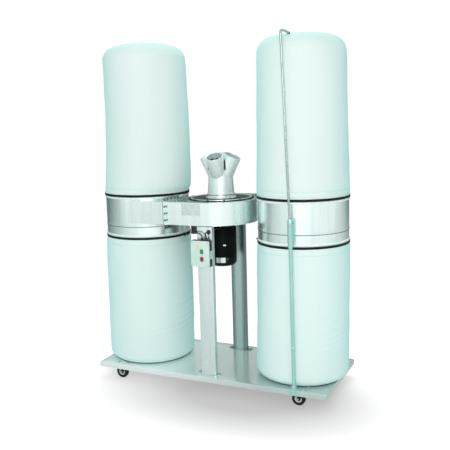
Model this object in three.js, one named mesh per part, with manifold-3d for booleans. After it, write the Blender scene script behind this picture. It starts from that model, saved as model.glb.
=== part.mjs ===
// Twin-bag dust collector for a wood shop. A motor hangs under a flat scroll housing and spins an
// impeller in it. Air enters through a four-way inlet on top, leaves through two ducts, and swirls
// into two round collars. Each collar carries a filter bag above and a collection bag below.
// Everything stands on a sheet-metal base on four swivel casters.
//
// Millimetres, +Z up. The origin is on the floor under the impeller's axis, with the switch facing -Y.
// Everything but the casters and the electrical pieces is the same after half a turn about Z.
import * as THREE from 'three';
import { mergeVertices } from 'three/addons/utils/BufferGeometryUtils.js';
import Module from 'manifold-3d';

const wasm = await Module();
wasm.setup();

// Driving dimensions.
const GAP = 0.3; // between pieces that touch
const SHEET = 2.5; // wall of folded and rolled sheet metal
const COLLAR_RADIUS = 254; // a 20 inch bag collar
const COLLAR_X = 505; // each collar's axis, from the impeller's axis
const COLLAR_Z = [866, 1143]; // lower and upper edge of the collar wall
const CLAMP_Z = [878, 1131]; // middle of the lower and upper clamp band
const ROUND = 24; // sides of collars, bags and clamp bands
const BASE = { length: 1446, depth: 590, top: 103, lip: 30 };
const DUCT = { inner: 119, bottom: 973, top: 1105, end: 238 }; // inner wall, floor, roof, flange face
const FLANGE = { width: 25, thick: 4 };
const SCROLL_START = 207; // scroll radius at its tongue; it grows to the collar's radius
const COVER_RADIUS = 195;
const BAG_WALL = 3;
const CUFF_RADIUS = COLLAR_RADIUS + GAP + BAG_WALL; // outside of a bag where it grips its collar
const CROWN_Z = 2009; // top of a filter bag
const WHEEL = { radius: 37.5, width: 24, trail: 22 };
const CASTER = { x: 572, y: 237 };
const PILLAR = { x: 6, y: 250, width: 94, depth: 30, wall: 3, rearOffset: [-4, 462, 0] };
const SHAFT_RADIUS = 12;
const MOTOR = { bottom: 706, frame: [758, 958], finRadius: 84, bodyRadius: 72, boreRadius: 66 };
const SWITCH = { x: [-60, 54], bottom: 750, top: 896, face: 292, lid: 8 };
const LEAD_RADIUS = 3.6;
const POLE_Y = 281; // distance of a hanger pole from its collar's axis
const DEG = Math.PI / 180;

// Finishes.
const finish = (color, roughness, metalness) => new THREE.MeshStandardMaterial(
  { color, roughness, metalness });
const SHEET_PAINT = finish(0xdfe9e8, 0.35, 0.1);
const BASE_PAINT = finish(0xb9c6c3, 0.25, 0.1);
const BLACK_PAINT = finish(0x10201f, 0.35, 0.1);
const MOTOR_PAINT = finish(0x0c1a16, 0.45, 0.2);
const STEEL = finish(0xb8bcbc, 0.35, 0.9);
const CAST = finish(0x7d8380, 0.6, 0.8);
const COPPER = finish(0xb0693c, 0.5, 0.8);
const POLE_PAINT = finish(0x9fc7bf, 0.3, 0.4);
const CLOTH = finish(0xdcefed, 0.85, 0);
const FILM = finish(0xd3edec, 0.5, 0);
const TYRE = finish(0x0c1110, 0.8, 0);
const BLACK_PLASTIC = finish(0x141a19, 0.5, 0);
const SWITCH_PLASTIC = finish(0xdfece7, 0.45, 0);
const GREEN = finish(0x1f7a40, 0.4, 0);
const RED = finish(0x7e1f2b, 0.4, 0);

// Turns a three.js geometry into a solid that can be joined and cut.
function solid(geometry) {
  const bare = geometry.clone();
  bare.deleteAttribute('normal');
  bare.deleteAttribute('uv');
  const merged = mergeVertices(bare, 1e-3);
  const corners = merged.index.array;
  const kept = [];
  for (let i = 0; i < corners.length; i += 3) {
    const [a, b, c] = [corners[i], corners[i + 1], corners[i + 2]];
    if (a !== b && b !== c && c !== a) kept.push(a, b, c);
  }
  return new wasm.Manifold(new wasm.Mesh({
    numProp: 3,
    vertProperties: new Float32Array(merged.attributes.position.array),
    triVerts: new Uint32Array(kept),
  }));
}

const join = (first, ...others) => others.reduce((whole, next) => whole.add(next), first);
const cut = (first, ...tools) => tools.reduce((rest, tool) => rest.subtract(tool), first);

// A box from [low, high] pairs along x, y and z.
function block(x, y, z) {
  const geometry = new THREE.BoxGeometry(x[1] - x[0], y[1] - y[0], z[1] - z[0]);
  geometry.translate((x[0] + x[1]) / 2, (y[0] + y[1]) / 2, (z[0] + z[1]) / 2);
  return solid(geometry);
}

// An upright cylinder over the [low, high] heights in z.
function drum(radius, z, sides = 24, centre = [0, 0]) {
  const geometry = new THREE.CylinderGeometry(radius, radius, z[1] - z[0], sides);
  geometry.rotateX(90 * DEG);
  geometry.translate(centre[0], centre[1], (z[0] + z[1]) / 2);
  return solid(geometry);
}

// A round bar between two points.
function bar(from, to, radius, sides = 12) {
  const start = new THREE.Vector3(...from);
  const along = new THREE.Vector3(...to).sub(start);
  const geometry = new THREE.CylinderGeometry(radius, radius, along.length(), sides);
  const direction = along.clone().normalize();
  const cylinderAxis = new THREE.Vector3(0, 1, 0);
  geometry.applyQuaternion(new THREE.Quaternion().setFromUnitVectors(cylinderAxis, direction));
  const middle = start.addScaledVector(along, 0.5);
  geometry.translate(middle.x, middle.y, middle.z);
  return solid(geometry);
}

// A solid of revolution about Z. The [radius, z] outline runs up its outer side.
function turned(outline, sides = 24) {
  const geometry = new THREE.LatheGeometry(outline.map(([r, z]) => new THREE.Vector2(r, z)), sides);
  geometry.rotateX(90 * DEG);
  return solid(geometry);
}

// A ring between two radii over the [low, high] heights in z.
const ring = (inner, outer, z, sides = 24) => turned(
  [[inner, z[0]], [outer, z[0]], [outer, z[1]], [inner, z[1]], [inner, z[0]]], sides);

// A flat outline pulled up over the [low, high] heights in z.
function prism(outline, z) {
  const shape = new THREE.Shape(outline.map(([x, y]) => new THREE.Vector2(x, y)));
  const geometry = new THREE.ExtrudeGeometry(shape, { depth: z[1] - z[0], bevelEnabled: false });
  geometry.translate(0, 0, z[0]);
  return solid(geometry);
}

// A round bar or cable that follows smooth bends through the points.
function swept(points, radius, steps, sides = 8) {
  const path = new THREE.CatmullRomCurve3(points.map((p) => new THREE.Vector3(...p)), false, 'centripetal');
  const section = new THREE.Shape();
  for (let i = 0; i < sides; i += 1) {
    const angle = (2 * Math.PI * i) / sides;
    const [x, y] = [radius * Math.cos(angle), radius * Math.sin(angle)];
    if (i === 0) section.moveTo(x, y);
    else section.lineTo(x, y);
  }
  return solid(new THREE.ExtrudeGeometry(section, { steps, extrudePath: path, bevelEnabled: false }));
}

// count copies of one solid, evenly round Z.
const around = (one, count) => join(
  ...Array.from({ length: count }, (_, i) => one.rotate([0, 0, (360 * i) / count])));

// A hexagon bolt head that stands on height z.
const boltHead = (x, y, z, across = 13) => drum(across / 2, [z - 0.5, z + 5], 6, [x, y]);

// Adds a solid to a group as a named mesh.
function piece(group, name, body, material) {
  const mesh = body.getMesh();
  const geometry = new THREE.BufferGeometry();
  geometry.setAttribute('position', new THREE.BufferAttribute(mesh.vertProperties, 3));
  geometry.setIndex(new THREE.BufferAttribute(mesh.triVerts, 1));
  geometry.computeVertexNormals();
  const part = new THREE.Mesh(geometry, material);
  part.name = name;
  group.add(part);
  return part;
}

// Base: one sheet folded down on all four sides.
function basePan() {
  const [x, y] = [BASE.length / 2, BASE.depth / 2];
  const outside = block([-x, x], [-y, y], [BASE.top - BASE.lip, BASE.top]);
  const inside = block([-x + SHEET, x - SHEET], [-y + SHEET, y - SHEET], [0, BASE.top - SHEET]);
  return cut(outside, inside);
}

// Pillar: a channel with its web to the front, a bolted foot and a bolted head. Modelled on the -Y side.
function pillar() {
  const [z0, z1] = [BASE.top + GAP, DUCT.bottom - GAP];
  const [left, right] = [PILLAR.x - PILLAR.width / 2, PILLAR.x + PILLAR.width / 2];
  const [front, back] = [-PILLAR.y, -PILLAR.y + PILLAR.depth];
  const web = block([left, right], [front, front + PILLAR.wall], [z0, z1]);
  const leftSide = block([left, left + PILLAR.wall], [front, back], [z0, z1]);
  const rightSide = block([right - PILLAR.wall, right], [front, back], [z0, z1]);
  const ear = 28;
  const foot = block([left - ear, right + ear], [front, back + 10], [z0, z0 + PILLAR.wall]);
  const head = block([left, right], [front, back + 10], [z1 - PILLAR.wall, z1]);
  const middle = (front + back) / 2;
  const bolts = [left - ear / 2, right + ear / 2].map((x) => boltHead(x, middle, z0 + PILLAR.wall));
  return join(web, leftSide, rightSide, foot, head, ...bolts);
}

// Scroll outline seen from above, with both outlet ducts. inset moves it inwards, and ductEnd is
// where the ducts end. The scroll grows clockwise, so the ducts leave to -X in front and +X behind.
function scrollOutline(inset, ductEnd) {
  const steps = 18;
  const ductInner = DUCT.inner + inset;
  const tongue = Math.asin(ductInner / (SCROLL_START - inset));
  const half = [];
  for (let i = 0; i <= steps; i += 1) {
    const grown = i / steps;
    const angle = tongue + (-90 * DEG - tongue) * grown;
    const radius = SCROLL_START + (COLLAR_RADIUS - SCROLL_START) * grown - inset;
    half.push([radius * Math.cos(angle), radius * Math.sin(angle)]);
  }
  half.push([-ductEnd, -(COLLAR_RADIUS - inset)], [-ductEnd, -ductInner]);
  return [...half, ...half.map(([x, y]) => [-x, -y])];
}

// Frame round a duct's mouth, over the [low, high] x, on the +Y side.
const ductFlange = (x) => block(
  x, [DUCT.inner - FLANGE.width, COLLAR_RADIUS + FLANGE.width],
  [DUCT.bottom - FLANGE.width, DUCT.top + FLANGE.width]);

function blowerHousing() {
  const outside = prism(scrollOutline(0, DUCT.end), [DUCT.bottom, DUCT.top]);
  const inside = prism(scrollOutline(SHEET, DUCT.end + 10), [DUCT.bottom + SHEET, DUCT.top - SHEET]);
  const flange = ductFlange([DUCT.end - FLANGE.thick, DUCT.end]);
  const impellerOpening = drum(COVER_RADIUS - 17, [DUCT.top - 10, DUCT.top + 10], 28);
  const shaftOpening = drum(34, [DUCT.bottom - 10, DUCT.bottom + 10], 20);
  return cut(join(outside, flange, flange.rotate([0, 0, 180])), inside, impellerOpening, shaftOpening);
}

function blowerCover() {
  const z0 = DUCT.top + GAP;
  const plate = ring(68, COVER_RADIUS, [z0, z0 + 3], 32);
  return join(plate, around(boltHead(COVER_RADIUS - 8, 0, z0 + 3), 12));
}

// Inlet manifold: a bolted neck that branches into four splayed hose ports.
const PORT = { radius: 49, wall: 2.5, tilt: 26 * DEG, reach: 80, mouthZ: 1352, length: 168 };

function inletManifold() {
  const z0 = DUCT.top + GAP + 3 + GAP;
  const [neckTop, bodyTop] = [1132, 1222];
  const outside = turned([[0, z0], [90, z0], [90, z0 + 3], [80, z0 + 3], [80, neckTop], [78, neckTop + 4],
    [72, bodyTop], [0, bodyTop]], 24);
  const inside = turned([[0, z0 - 5], [75, z0 - 5], [75, neckTop + 2], [69, bodyTop - 3],
    [0, bodyTop - 3]], 24);
  const along = [Math.sin(PORT.tilt), 0, Math.cos(PORT.tilt)];
  const at = (back) => [PORT.reach - back * along[0], 0, PORT.mouthZ - back * along[2]];
  const port = bar(at(PORT.length), at(0), PORT.radius, 16);
  const bore = bar(at(PORT.length - 4), at(-10), PORT.radius - PORT.wall, 16);
  return cut(join(outside, around(port, 4)), inside, around(bore, 4));
}

// Collar: the round sheet ring that both bags fit on, with the duct that feeds it. Modelled round
// its own axis, with the duct leaving to -X on the +Y side.
function collar() {
  const beadOffset = 14; // from a clamp band to the rolled bead that stops it
  const crest = COLLAR_RADIUS + 5;
  const bead = (z) => [[COLLAR_RADIUS, z - 4], [crest, z - 2], [crest, z + 2], [COLLAR_RADIUS, z + 4]];
  const inner = COLLAR_RADIUS - SHEET;
  const [low, high] = COLLAR_Z;
  const wall = turned([[inner, low], [COLLAR_RADIUS, low], ...bead(CLAMP_Z[0] + beadOffset),
    ...bead(CLAMP_Z[1] - beadOffset), [COLLAR_RADIUS, high], [inner, high], [inner, low]], ROUND);
  const mouth = DUCT.end + GAP - COLLAR_X;
  const ductOutside = block([mouth, -10], [DUCT.inner, COLLAR_RADIUS], [DUCT.bottom, DUCT.top]);
  const ductInside = block([mouth - 10, -15], [DUCT.inner + SHEET, COLLAR_RADIUS - SHEET],
    [DUCT.bottom + SHEET, DUCT.top - SHEET]);
  const midWall = drum(COLLAR_RADIUS - SHEET / 2, [DUCT.bottom - 10, DUCT.top + 10], ROUND);
  const stub = cut(ductOutside, midWall);
  return cut(join(wall, stub, ductFlange([mouth, mouth + FLANGE.thick])), ductInside);
}

// Filter bag: cloth pulled over the collar's upper end, blown up to a soft crown.
function filterBag() {
  return bagShell([[CUFF_RADIUS, 1123], [CUFF_RADIUS, 1145], [260, 1180], [254, 1400], [249, 1700],
    [243, 1900], [236, 1940], [214, 1968], [165, 1990], [0, CROWN_Z]]);
}

// Collection bag: film pulled over the collar's lower end, standing on the base.
function collectionBag() {
  return bagShell([[CUFF_RADIUS, 886], [CUFF_RADIUS, 864], [262, 820], [264, 500], [263, 150], [252, 120],
    [232, 107], [200, BASE.top + GAP], [0, BASE.top + GAP]]);
}

// A cloth shell from its outer [radius, z] outline, which runs from the open rim to the closed end.
function bagShell(outside) {
  const end = Math.sign(outside.at(-1)[1] - outside[0][1]) * BAG_WALL;
  const inside = outside.slice(2, -1).map(([r, z]) => [r - BAG_WALL, z - end * 0.5]);
  const rim = outside.slice(0, 2).map(([r, z]) => [r - BAG_WALL, z]);
  const last = [0, outside.at(-1)[1] - end];
  const loop = [...outside, last, ...inside.reverse(), ...rim.reverse(), outside[0]];
  return turned(end > 0 ? loop : loop.reverse(), ROUND);
}

// Clamp band: a steel strap with a split that the latch closes. Modelled at z = 0 with the latch on +X.
const LATCH = { x: 266, y: -20, lift: 3.7 };

function clampBand() {
  const inner = CUFF_RADIUS + GAP;
  const strap = ring(inner, inner + 2, [-7, 7], ROUND);
  const split = block([inner - 10, inner + 10], [-8, 4], [-10, 10]);
  const pivotLug = block([256, 262], [-25, -13], [-7, 7]);
  const ear = block([256, LATCH.x + 4], [-25, -13], [LATCH.lift + GAP, 7]);
  const pin = drum(1.8, [-6, 6], 8, [LATCH.x, LATCH.y]);
  const hookLug = block([256.7, 261.5], [8, 16], [-7, 7]);
  return join(cut(strap, split), pivotLug, ear, ear.mirror([0, 0, 1]), pin, hookLug);
}

function clampLever() {
  const barrel = drum(3.6, [-LATCH.lift, LATCH.lift], 10, [LATCH.x, LATCH.y]);
  const arm = block([LATCH.x - 2, LATCH.x + 2], [LATCH.y, 36], [-LATCH.lift, LATCH.lift]);
  const tip = block([LATCH.x - 2, LATCH.x + 6], [34, 38], [-LATCH.lift, LATCH.lift]);
  const pinHole = drum(2.3, [-10, 10], 8, [LATCH.x, LATCH.y]);
  return cut(join(barrel, arm, tip), pinHole);
}

// Hanger pole, modelled round its collar's axis on the -Y side. It leans a little, as x falls with z.
const POLE = { foot: [33, -POLE_Y, 107], joint: [21.5, -POLE_Y, 960], bend: [-17, -POLE_Y, 1975] };
const [TUBE_RADIUS, ROD_RADIUS] = [10, 6];

// A point on the line from one point to another, at height z.
function onLine(from, to, z) {
  const part = (z - from[2]) / (to[2] - from[2]);
  return from.map((value, i) => value + part * (to[i] - value));
}

const poleTube = () => bar(POLE.foot, onLine(POLE.foot, POLE.joint, 958), TUBE_RADIUS, 12);

// Upper rod: straight up past the filter bag, then bent over its shoulder as a hook for the bag's loop.
function poleRod() {
  const straight = [962, 1300, 1640, 1940].map((z) => onLine(POLE.joint, POLE.bend, z));
  const hook = [[-17.5, -279, 1990], [-17.5, -268, 1999], [-17, -245, 2001], [-14, -205, 1998],
    [-12, -176, 1994]];
  return swept([...straight, ...hook], ROD_RADIUS, 22, 8);
}

// Collar bracket: a pad on the collar and a sleeve that takes the tube below and the rod above.
function poleBracket() {
  const [z0, z1] = [884, 1040];
  const at = (z) => onLine(POLE.foot, POLE.joint, z);
  const sleeve = bar(at(z0), at(z1), 14, 14);
  const pad = block([2, 40], [-POLE_Y + 8, -COLLAR_RADIUS - GAP], [906, 1030]);
  const screws = [925, 1010].map((z) => bar([21, -POLE_Y - 18, z], [21, -POLE_Y - 12, z], 5, 6));
  const tubeBore = bar(at(z0 - 10), at(960), TUBE_RADIUS + 0.5, 12);
  const [rodLow, rodHigh] = [950, z1 + 10].map((z) => onLine(POLE.joint, POLE.bend, z));
  const rodBore = bar(rodLow, rodHigh, ROD_RADIUS + 0.7, 10);
  return cut(join(sleeve, pad, ...screws), tubeBore, rodBore);
}

// Foot bracket: an angle bolted over the base's edge, with a socket for the tube.
function poleFoot() {
  const edge = -BASE.depth / 2 - GAP;
  const z0 = BASE.top + GAP;
  const flat = block([5, 61], [edge - 3, -POLE_Y + 15], [z0, z0 + 3]);
  const tab = block([5, 61], [edge - 3, edge], [BASE.top - 26, z0 + 3]);
  const socket = drum(14, [z0 + 1, z0 + 24], 12, POLE.foot);
  const boreEnd = onLine(POLE.foot, POLE.joint, z0 + 40);
  const bore = bar([POLE.foot[0], -POLE_Y, z0 + 3.2], boreEnd, TUBE_RADIUS + 0.6, 12);
  const boltZ = BASE.top - 13;
  const bolts = [17, 49].map((x) => bar([x, edge - 2, boltZ], [x, edge - 7, boltZ], 6.5, 6));
  return cut(join(flat, tab, socket, ...bolts), bore);
}

// One side of the machine round its collar's axis. The +X side is modelled; the -X side is turned.
function sideAssembly(side) {
  const group = new THREE.Group();
  group.position.x = COLLAR_X;
  piece(group, `${side}_collar`, collar(), SHEET_PAINT);
  piece(group, `${side}_filter_bag`, filterBag(), CLOTH);
  piece(group, `${side}_collection_bag`, collectionBag(), FILM);
  piece(group, `${side}_pole_tube`, poleTube(), POLE_PAINT);
  piece(group, `${side}_pole_rod`, poleRod(), POLE_PAINT);
  piece(group, `${side}_pole_bracket`, poleBracket(), POLE_PAINT);
  piece(group, `${side}_pole_foot`, poleFoot(), POLE_PAINT);
  ['lower', 'upper'].forEach((level, i) => {
    const clamp = new THREE.Group();
    clamp.position.z = CLAMP_Z[i];
    clamp.rotation.z = Math.PI; // the latch faces the blower
    piece(clamp, `${side}_${level}_clamp_band`, clampBand(), BLACK_PAINT);
    piece(clamp, `${side}_${level}_clamp_lever`, clampLever(), BLACK_PAINT);
    group.add(clamp);
  });
  return group;
}

// Impeller: a back plate, a hub and eight radial blades.
function impeller() {
  const z0 = DUCT.bottom + SHEET + 12;
  const plate = drum(164, [z0, z0 + 3], 32);
  const hub = drum(30, [z0 - 6, z0 + 50], 16);
  const blade = block([24, 160], [-1.5, 1.5], [z0 + 1, z0 + 88]);
  const bore = drum(SHAFT_RADIUS + GAP, [z0 - 20, z0 + 80], 12);
  return cut(join(plate, hub, around(blade, 8)), bore);
}

// Rotor: the motor's shaft with its laminated core.
function rotor() {
  const shaft = drum(SHAFT_RADIUS, [MOTOR.bottom + 22, DUCT.bottom + SHEET + 60], 12);
  return join(shaft, drum(46, [805, 905], 24));
}

// Motor frame: a tube with upright cooling fins, a pad for the terminal box and a cable boss.
const TERMINAL_ANGLE = 205;

function motorFrame() {
  const fins = 20;
  const outline = [];
  for (let i = 0; i < fins; i += 1) {
    for (const [radius, share] of [[MOTOR.bodyRadius, 0], [MOTOR.bodyRadius, 0.6], [MOTOR.finRadius, 0.7],
      [MOTOR.finRadius, 0.9]]) {
      const angle = (2 * Math.PI * (i + share)) / fins;
      outline.push([radius * Math.cos(angle), radius * Math.sin(angle)]);
    }
  }
  const pad = block([MOTOR.bodyRadius - 2, 88], [-36, 36], [902, 955]).rotate([0, 0, TERMINAL_ANGLE]);
  const boss = bar([30, -MOTOR.bodyRadius + 4, 940], [30, -94, 940], 8, 10);
  const bore = drum(MOTOR.boreRadius, [MOTOR.frame[0] - 10, MOTOR.frame[1] + 10], 24);
  return cut(join(prism(outline, MOTOR.frame), pad, boss), bore);
}

// An end bell that closes one end of the motor frame. Its bearing drops into a seat from above.
const BEARING = { radius: 23, height: 12, seatFloor: 3 };

function endBell([z0, z1], radius) {
  const plate = ring(SHAFT_RADIUS + 3, radius, [z0, z1], 24);
  return cut(plate, drum(BEARING.radius + GAP, [z0 + BEARING.seatFloor, z1 + 10], 12));
}

function bearing([bellBottom]) {
  const z0 = bellBottom + BEARING.seatFloor + GAP;
  return ring(SHAFT_RADIUS + GAP, BEARING.radius, [z0, z0 + BEARING.height], 12);
}

function stator() {
  return ring(47.5, MOTOR.boreRadius - 1, [785, 925], 24);
}

function coolingFan() {
  const z = [MOTOR.bottom + 16, MOTOR.bottom + 34];
  const blade = block([15, 68], [-1.5, 1.5], z);
  return cut(join(drum(22, z, 12), around(blade, 6)), drum(SHAFT_RADIUS + GAP, [z[0] - 5, z[1] + 5], 12));
}

function fanCover() {
  const z0 = MOTOR.bottom;
  const top = MOTOR.frame[0] - 1;
  const shell = turned([[0, z0], [62, z0], [83, z0 + 24], [83, top], [80.5, top], [80.5, z0 + 25],
    [61, z0 + 2.5], [0, z0 + 2.5]], 24);
  const vent = drum(7, [z0 - 5, z0 + 10], 8, [50, 0]);
  const innerVent = drum(6, [z0 - 5, z0 + 10], 8, [26, 0]);
  return cut(shell, around(vent, 8), around(innerVent, 6));
}

// Terminal box on the motor's side, open outwards under its lid. Modelled pointing to +X.
const TERMINAL = { inner: 88.3, outer: 174, half: 46, z: [900, 958], lid: 8 };

function terminalBox() {
  const { inner, outer, half, z } = TERMINAL;
  const shell = cut(block([inner, outer], [-half, half], z),
    block([inner + 3, outer + 10], [-half + 3, half - 3], [z[0] + 3, z[1] - 3]));
  return join(shell, bar([130, half - 1, 926], [130, half + 12, 926], 7, 12));
}

function terminalLid() {
  const { outer, half, z, lid } = TERMINAL;
  const plate = block([outer + GAP, outer + GAP + lid], [-half, half], z);
  const x = outer + GAP + lid;
  const screws = [-half + 8, half - 8].map((y) => bar([x - 1, y, 929], [x + 3, y, 929], 4, 8));
  return join(plate, ...screws);
}

function motor() {
  const group = new THREE.Group();
  piece(group, 'impeller', impeller(), CAST);
  piece(group, 'rotor_shaft', rotor(), STEEL);
  piece(group, 'cooling_fan', coolingFan(), BLACK_PLASTIC);
  piece(group, 'motor_frame', motorFrame(), MOTOR_PAINT);
  piece(group, 'stator', stator(), COPPER);
  const upperBell = [MOTOR.frame[1] + GAP, DUCT.bottom - GAP];
  const lowerBell = [MOTOR.frame[0] - 13, MOTOR.frame[0] - GAP];
  piece(group, 'upper_end_bell', endBell(upperBell, 95), MOTOR_PAINT);
  piece(group, 'lower_end_bell', endBell(lowerBell, 79), MOTOR_PAINT);
  piece(group, 'upper_bearing', bearing(upperBell), STEEL);
  piece(group, 'lower_bearing', bearing(lowerBell), STEEL);
  piece(group, 'fan_cover', fanCover(), MOTOR_PAINT);
  const terminal = new THREE.Group();
  terminal.rotation.z = TERMINAL_ANGLE * DEG;
  piece(terminal, 'terminal_box', terminalBox(), BLACK_PLASTIC);
  piece(terminal, 'terminal_lid', terminalLid(), BLACK_PLASTIC);
  group.add(terminal);
  return group;
}

// Switch on the front pillar: a black box with a pale lid, two buttons and two cable glands.
const BUTTON = { x: 8, width: 18, height: 24, startZ: 836, stopZ: 793 };
const GLAND = { leftX: 0, rightX: 28, y: -268, top: 911 };

function switchBox() {
  const [left, right] = SWITCH.x;
  const [front, back] = [-SWITCH.face + SWITCH.lid + GAP, -PILLAR.y - GAP];
  const shell = cut(block([left, right], [front, back], [SWITCH.bottom, SWITCH.top]),
    block([left + 3, right - 3], [front - 5, back - 3], [SWITCH.bottom + 3, SWITCH.top - 3]));
  const glandZ = [SWITCH.top - 1, GLAND.top];
  const glands = [GLAND.leftX, GLAND.rightX].map((x) => drum(7, glandZ, 12, [x, GLAND.y]));
  return join(shell, ...glands);
}

function switchLid() {
  const face = -SWITCH.face;
  const plate = block(SWITCH.x, [face, face + SWITCH.lid], [SWITCH.bottom, SWITCH.top]);
  const window = (z) => block([BUTTON.x - BUTTON.width / 2 - 1, BUTTON.x + BUTTON.width / 2 + 1],
    [face - 5, face + 20], [z - BUTTON.height / 2 - 1, z + BUTTON.height / 2 + 1]);
  return cut(plate, window(BUTTON.startZ), window(BUTTON.stopZ));
}

function button(z, proud) {
  const half = BUTTON.width / 2;
  const cap = block([BUTTON.x - half, BUTTON.x + half], [-SWITCH.face - proud, -SWITCH.face + 9],
    [z - BUTTON.height / 2, z + BUTTON.height / 2]);
  return join(cap, bar([BUTTON.x, -SWITCH.face + 8, z], [BUTTON.x, -SWITCH.face + 22, z], 4, 10));
}

const GROMMET = { x: 34, z: 941, hole: 10 };
const grommetHole = () => bar([GROMMET.x, -PILLAR.y - 5, GROMMET.z], [GROMMET.x, -PILLAR.y + 10, GROMMET.z],
  GROMMET.hole, 12);

// Rubber grommet that lines the pillar's cable hole. Modelled round Z and laid along Y.
function grommet() {
  const inner = LEAD_RADIUS + 0.6;
  const neck = GROMMET.hole - 0.5;
  const round = turned([[inner, -4], [13, -4], [13, -GAP], [neck, -GAP], [neck, 3.3], [inner, 3.3],
    [inner, -4]], 12);
  return round.rotate([-90, 0, 0]).translate([GROMMET.x, -PILLAR.y, GROMMET.z]);
}

// Lead from the motor's terminal box round the pillar's edge into the switch.
const motorLead = () => swept([[-91.6, -107.5, 926], [-84, -124, 926], [-70, -160, 928], [-58, -205, 934],
  [-53, -240, 939], [-46, -262, 940], [-26, -270, 938], [-8, -270, 931],
  [GLAND.leftX, GLAND.y, GLAND.top + 9], [GLAND.leftX, GLAND.y, GLAND.top + 0.6]], LEAD_RADIUS, 26);

// Lead from the switch through the grommet to the motor frame's cable boss.
const controlLead = () => swept([[GLAND.rightX, GLAND.y, GLAND.top + 0.6],
  [GLAND.rightX, GLAND.y, GLAND.top + 7], [23, -270, 929], [24, -269, 938], [32, -262, 941],
  [GROMMET.x, -250, GROMMET.z], [GROMMET.x, -236, GROMMET.z], [33, -200, 942], [31, -150, 941],
  [30, -110, 940], [30, -94.3, 940]], LEAD_RADIUS, 26);

function electrics() {
  const group = new THREE.Group();
  piece(group, 'switch_box', switchBox(), BLACK_PLASTIC);
  piece(group, 'switch_lid', switchLid(), SWITCH_PLASTIC);
  piece(group, 'start_button', button(BUTTON.startZ, 3), GREEN);
  piece(group, 'stop_button', button(BUTTON.stopZ, 5), RED);
  piece(group, 'cable_grommet', grommet(), BLACK_PLASTIC);
  piece(group, 'motor_lead', motorLead(), BLACK_PLASTIC);
  piece(group, 'control_lead', controlLead(), BLACK_PLASTIC);
  return group;
}

// Caster, modelled round its swivel axis with the wheel trailing to -X.
const WHEEL_SIDES = 16;
const CASTER_Z = { plateTop: BASE.top - SHEET - GAP, crownTop: 89.2, axle: WHEEL.radius };

function casterPlate() {
  const plate = block([-38, 38], [-30, 30], [CASTER_Z.plateTop - 3, CASTER_Z.plateTop]);
  return join(plate, drum(19, [CASTER_Z.crownTop + GAP, CASTER_Z.plateTop - 1], 16));
}

function casterFork() {
  const { crownTop, axle } = CASTER_Z;
  const [innerY, outerY] = [WHEEL.width / 2 + 1.2, WHEEL.width / 2 + 4];
  const crown = drum(20, [crownTop - 6, crownTop], 16);
  const deck = block([-24, 12], [-outerY, outerY], [crownTop - 7, crownTop - 2]);
  const leg = new THREE.ExtrudeGeometry(new THREE.Shape([[-20, crownTop - 2], [12, crownTop - 2],
    [-WHEEL.trail + 9, axle - 6], [-WHEEL.trail - 9, axle - 6]].map(([x, z]) => new THREE.Vector2(x, z))),
  { depth: outerY - innerY, bevelEnabled: false });
  leg.rotateX(90 * DEG);
  leg.translate(0, -innerY, 0);
  const frontLeg = solid(leg);
  const axleBar = bar([-WHEEL.trail, -outerY - 4, axle], [-WHEEL.trail, outerY + 4, axle], 4, 8);
  return join(crown, deck, frontLeg, frontLeg.mirror([0, 1, 0]), axleBar);
}

// Wheel, modelled round its own axle along Y. A flat of its tread faces down.
function wheel() {
  const rim = WHEEL.radius / Math.cos(Math.PI / WHEEL_SIDES);
  const half = WHEEL.width / 2;
  const bore = 4.4;
  const face = [[12, -half], [rim - 11, -half + 3], [rim - 3, -half], [rim, -half + 4]];
  const farFace = face.map(([r, z]) => [r, -z]).reverse();
  const body = turned([[bore, -half], ...face, ...farFace, [bore, half], [bore, -half]], WHEEL_SIDES);
  return body.rotate([0, 0, 180 / WHEEL_SIDES]).rotate([90, 0, 0]);
}

function caster(name, x, y) {
  const group = new THREE.Group();
  group.position.set(x, y, 0);
  piece(group, `${name}_caster_plate`, casterPlate(), STEEL);
  piece(group, `${name}_caster_fork`, casterFork(), BLACK_PAINT);
  piece(group, `${name}_caster_wheel`, wheel(), TYRE).position.set(-WHEEL.trail, 0, CASTER_Z.axle);
  return group;
}

function dustCollector() {
  const machine = new THREE.Group();
  piece(machine, 'base_pan', basePan(), BASE_PAINT);
  piece(machine, 'front_pillar', cut(pillar(), grommetHole()), SHEET_PAINT);
  piece(machine, 'rear_pillar', pillar(), SHEET_PAINT).position.set(...PILLAR.rearOffset);
  piece(machine, 'blower_housing', blowerHousing(), SHEET_PAINT);
  piece(machine, 'blower_cover', blowerCover(), BLACK_PAINT);
  piece(machine, 'inlet_manifold', inletManifold(), SHEET_PAINT);
  const leftTurn = new THREE.Group();
  leftTurn.rotation.z = Math.PI;
  leftTurn.add(sideAssembly('left'));
  machine.add(sideAssembly('right'), leftTurn, motor(), electrics());
  const { x, y } = CASTER;
  machine.add(caster('front_left', -x, -y), caster('front_right', x, -y));
  machine.add(caster('rear_left', -x, y), caster('rear_right', x, y));
  return machine;
}

export default dustCollector();
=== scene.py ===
import math

import bmesh
import bpy
import numpy as np
from mathutils import Matrix, Vector, noise


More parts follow.
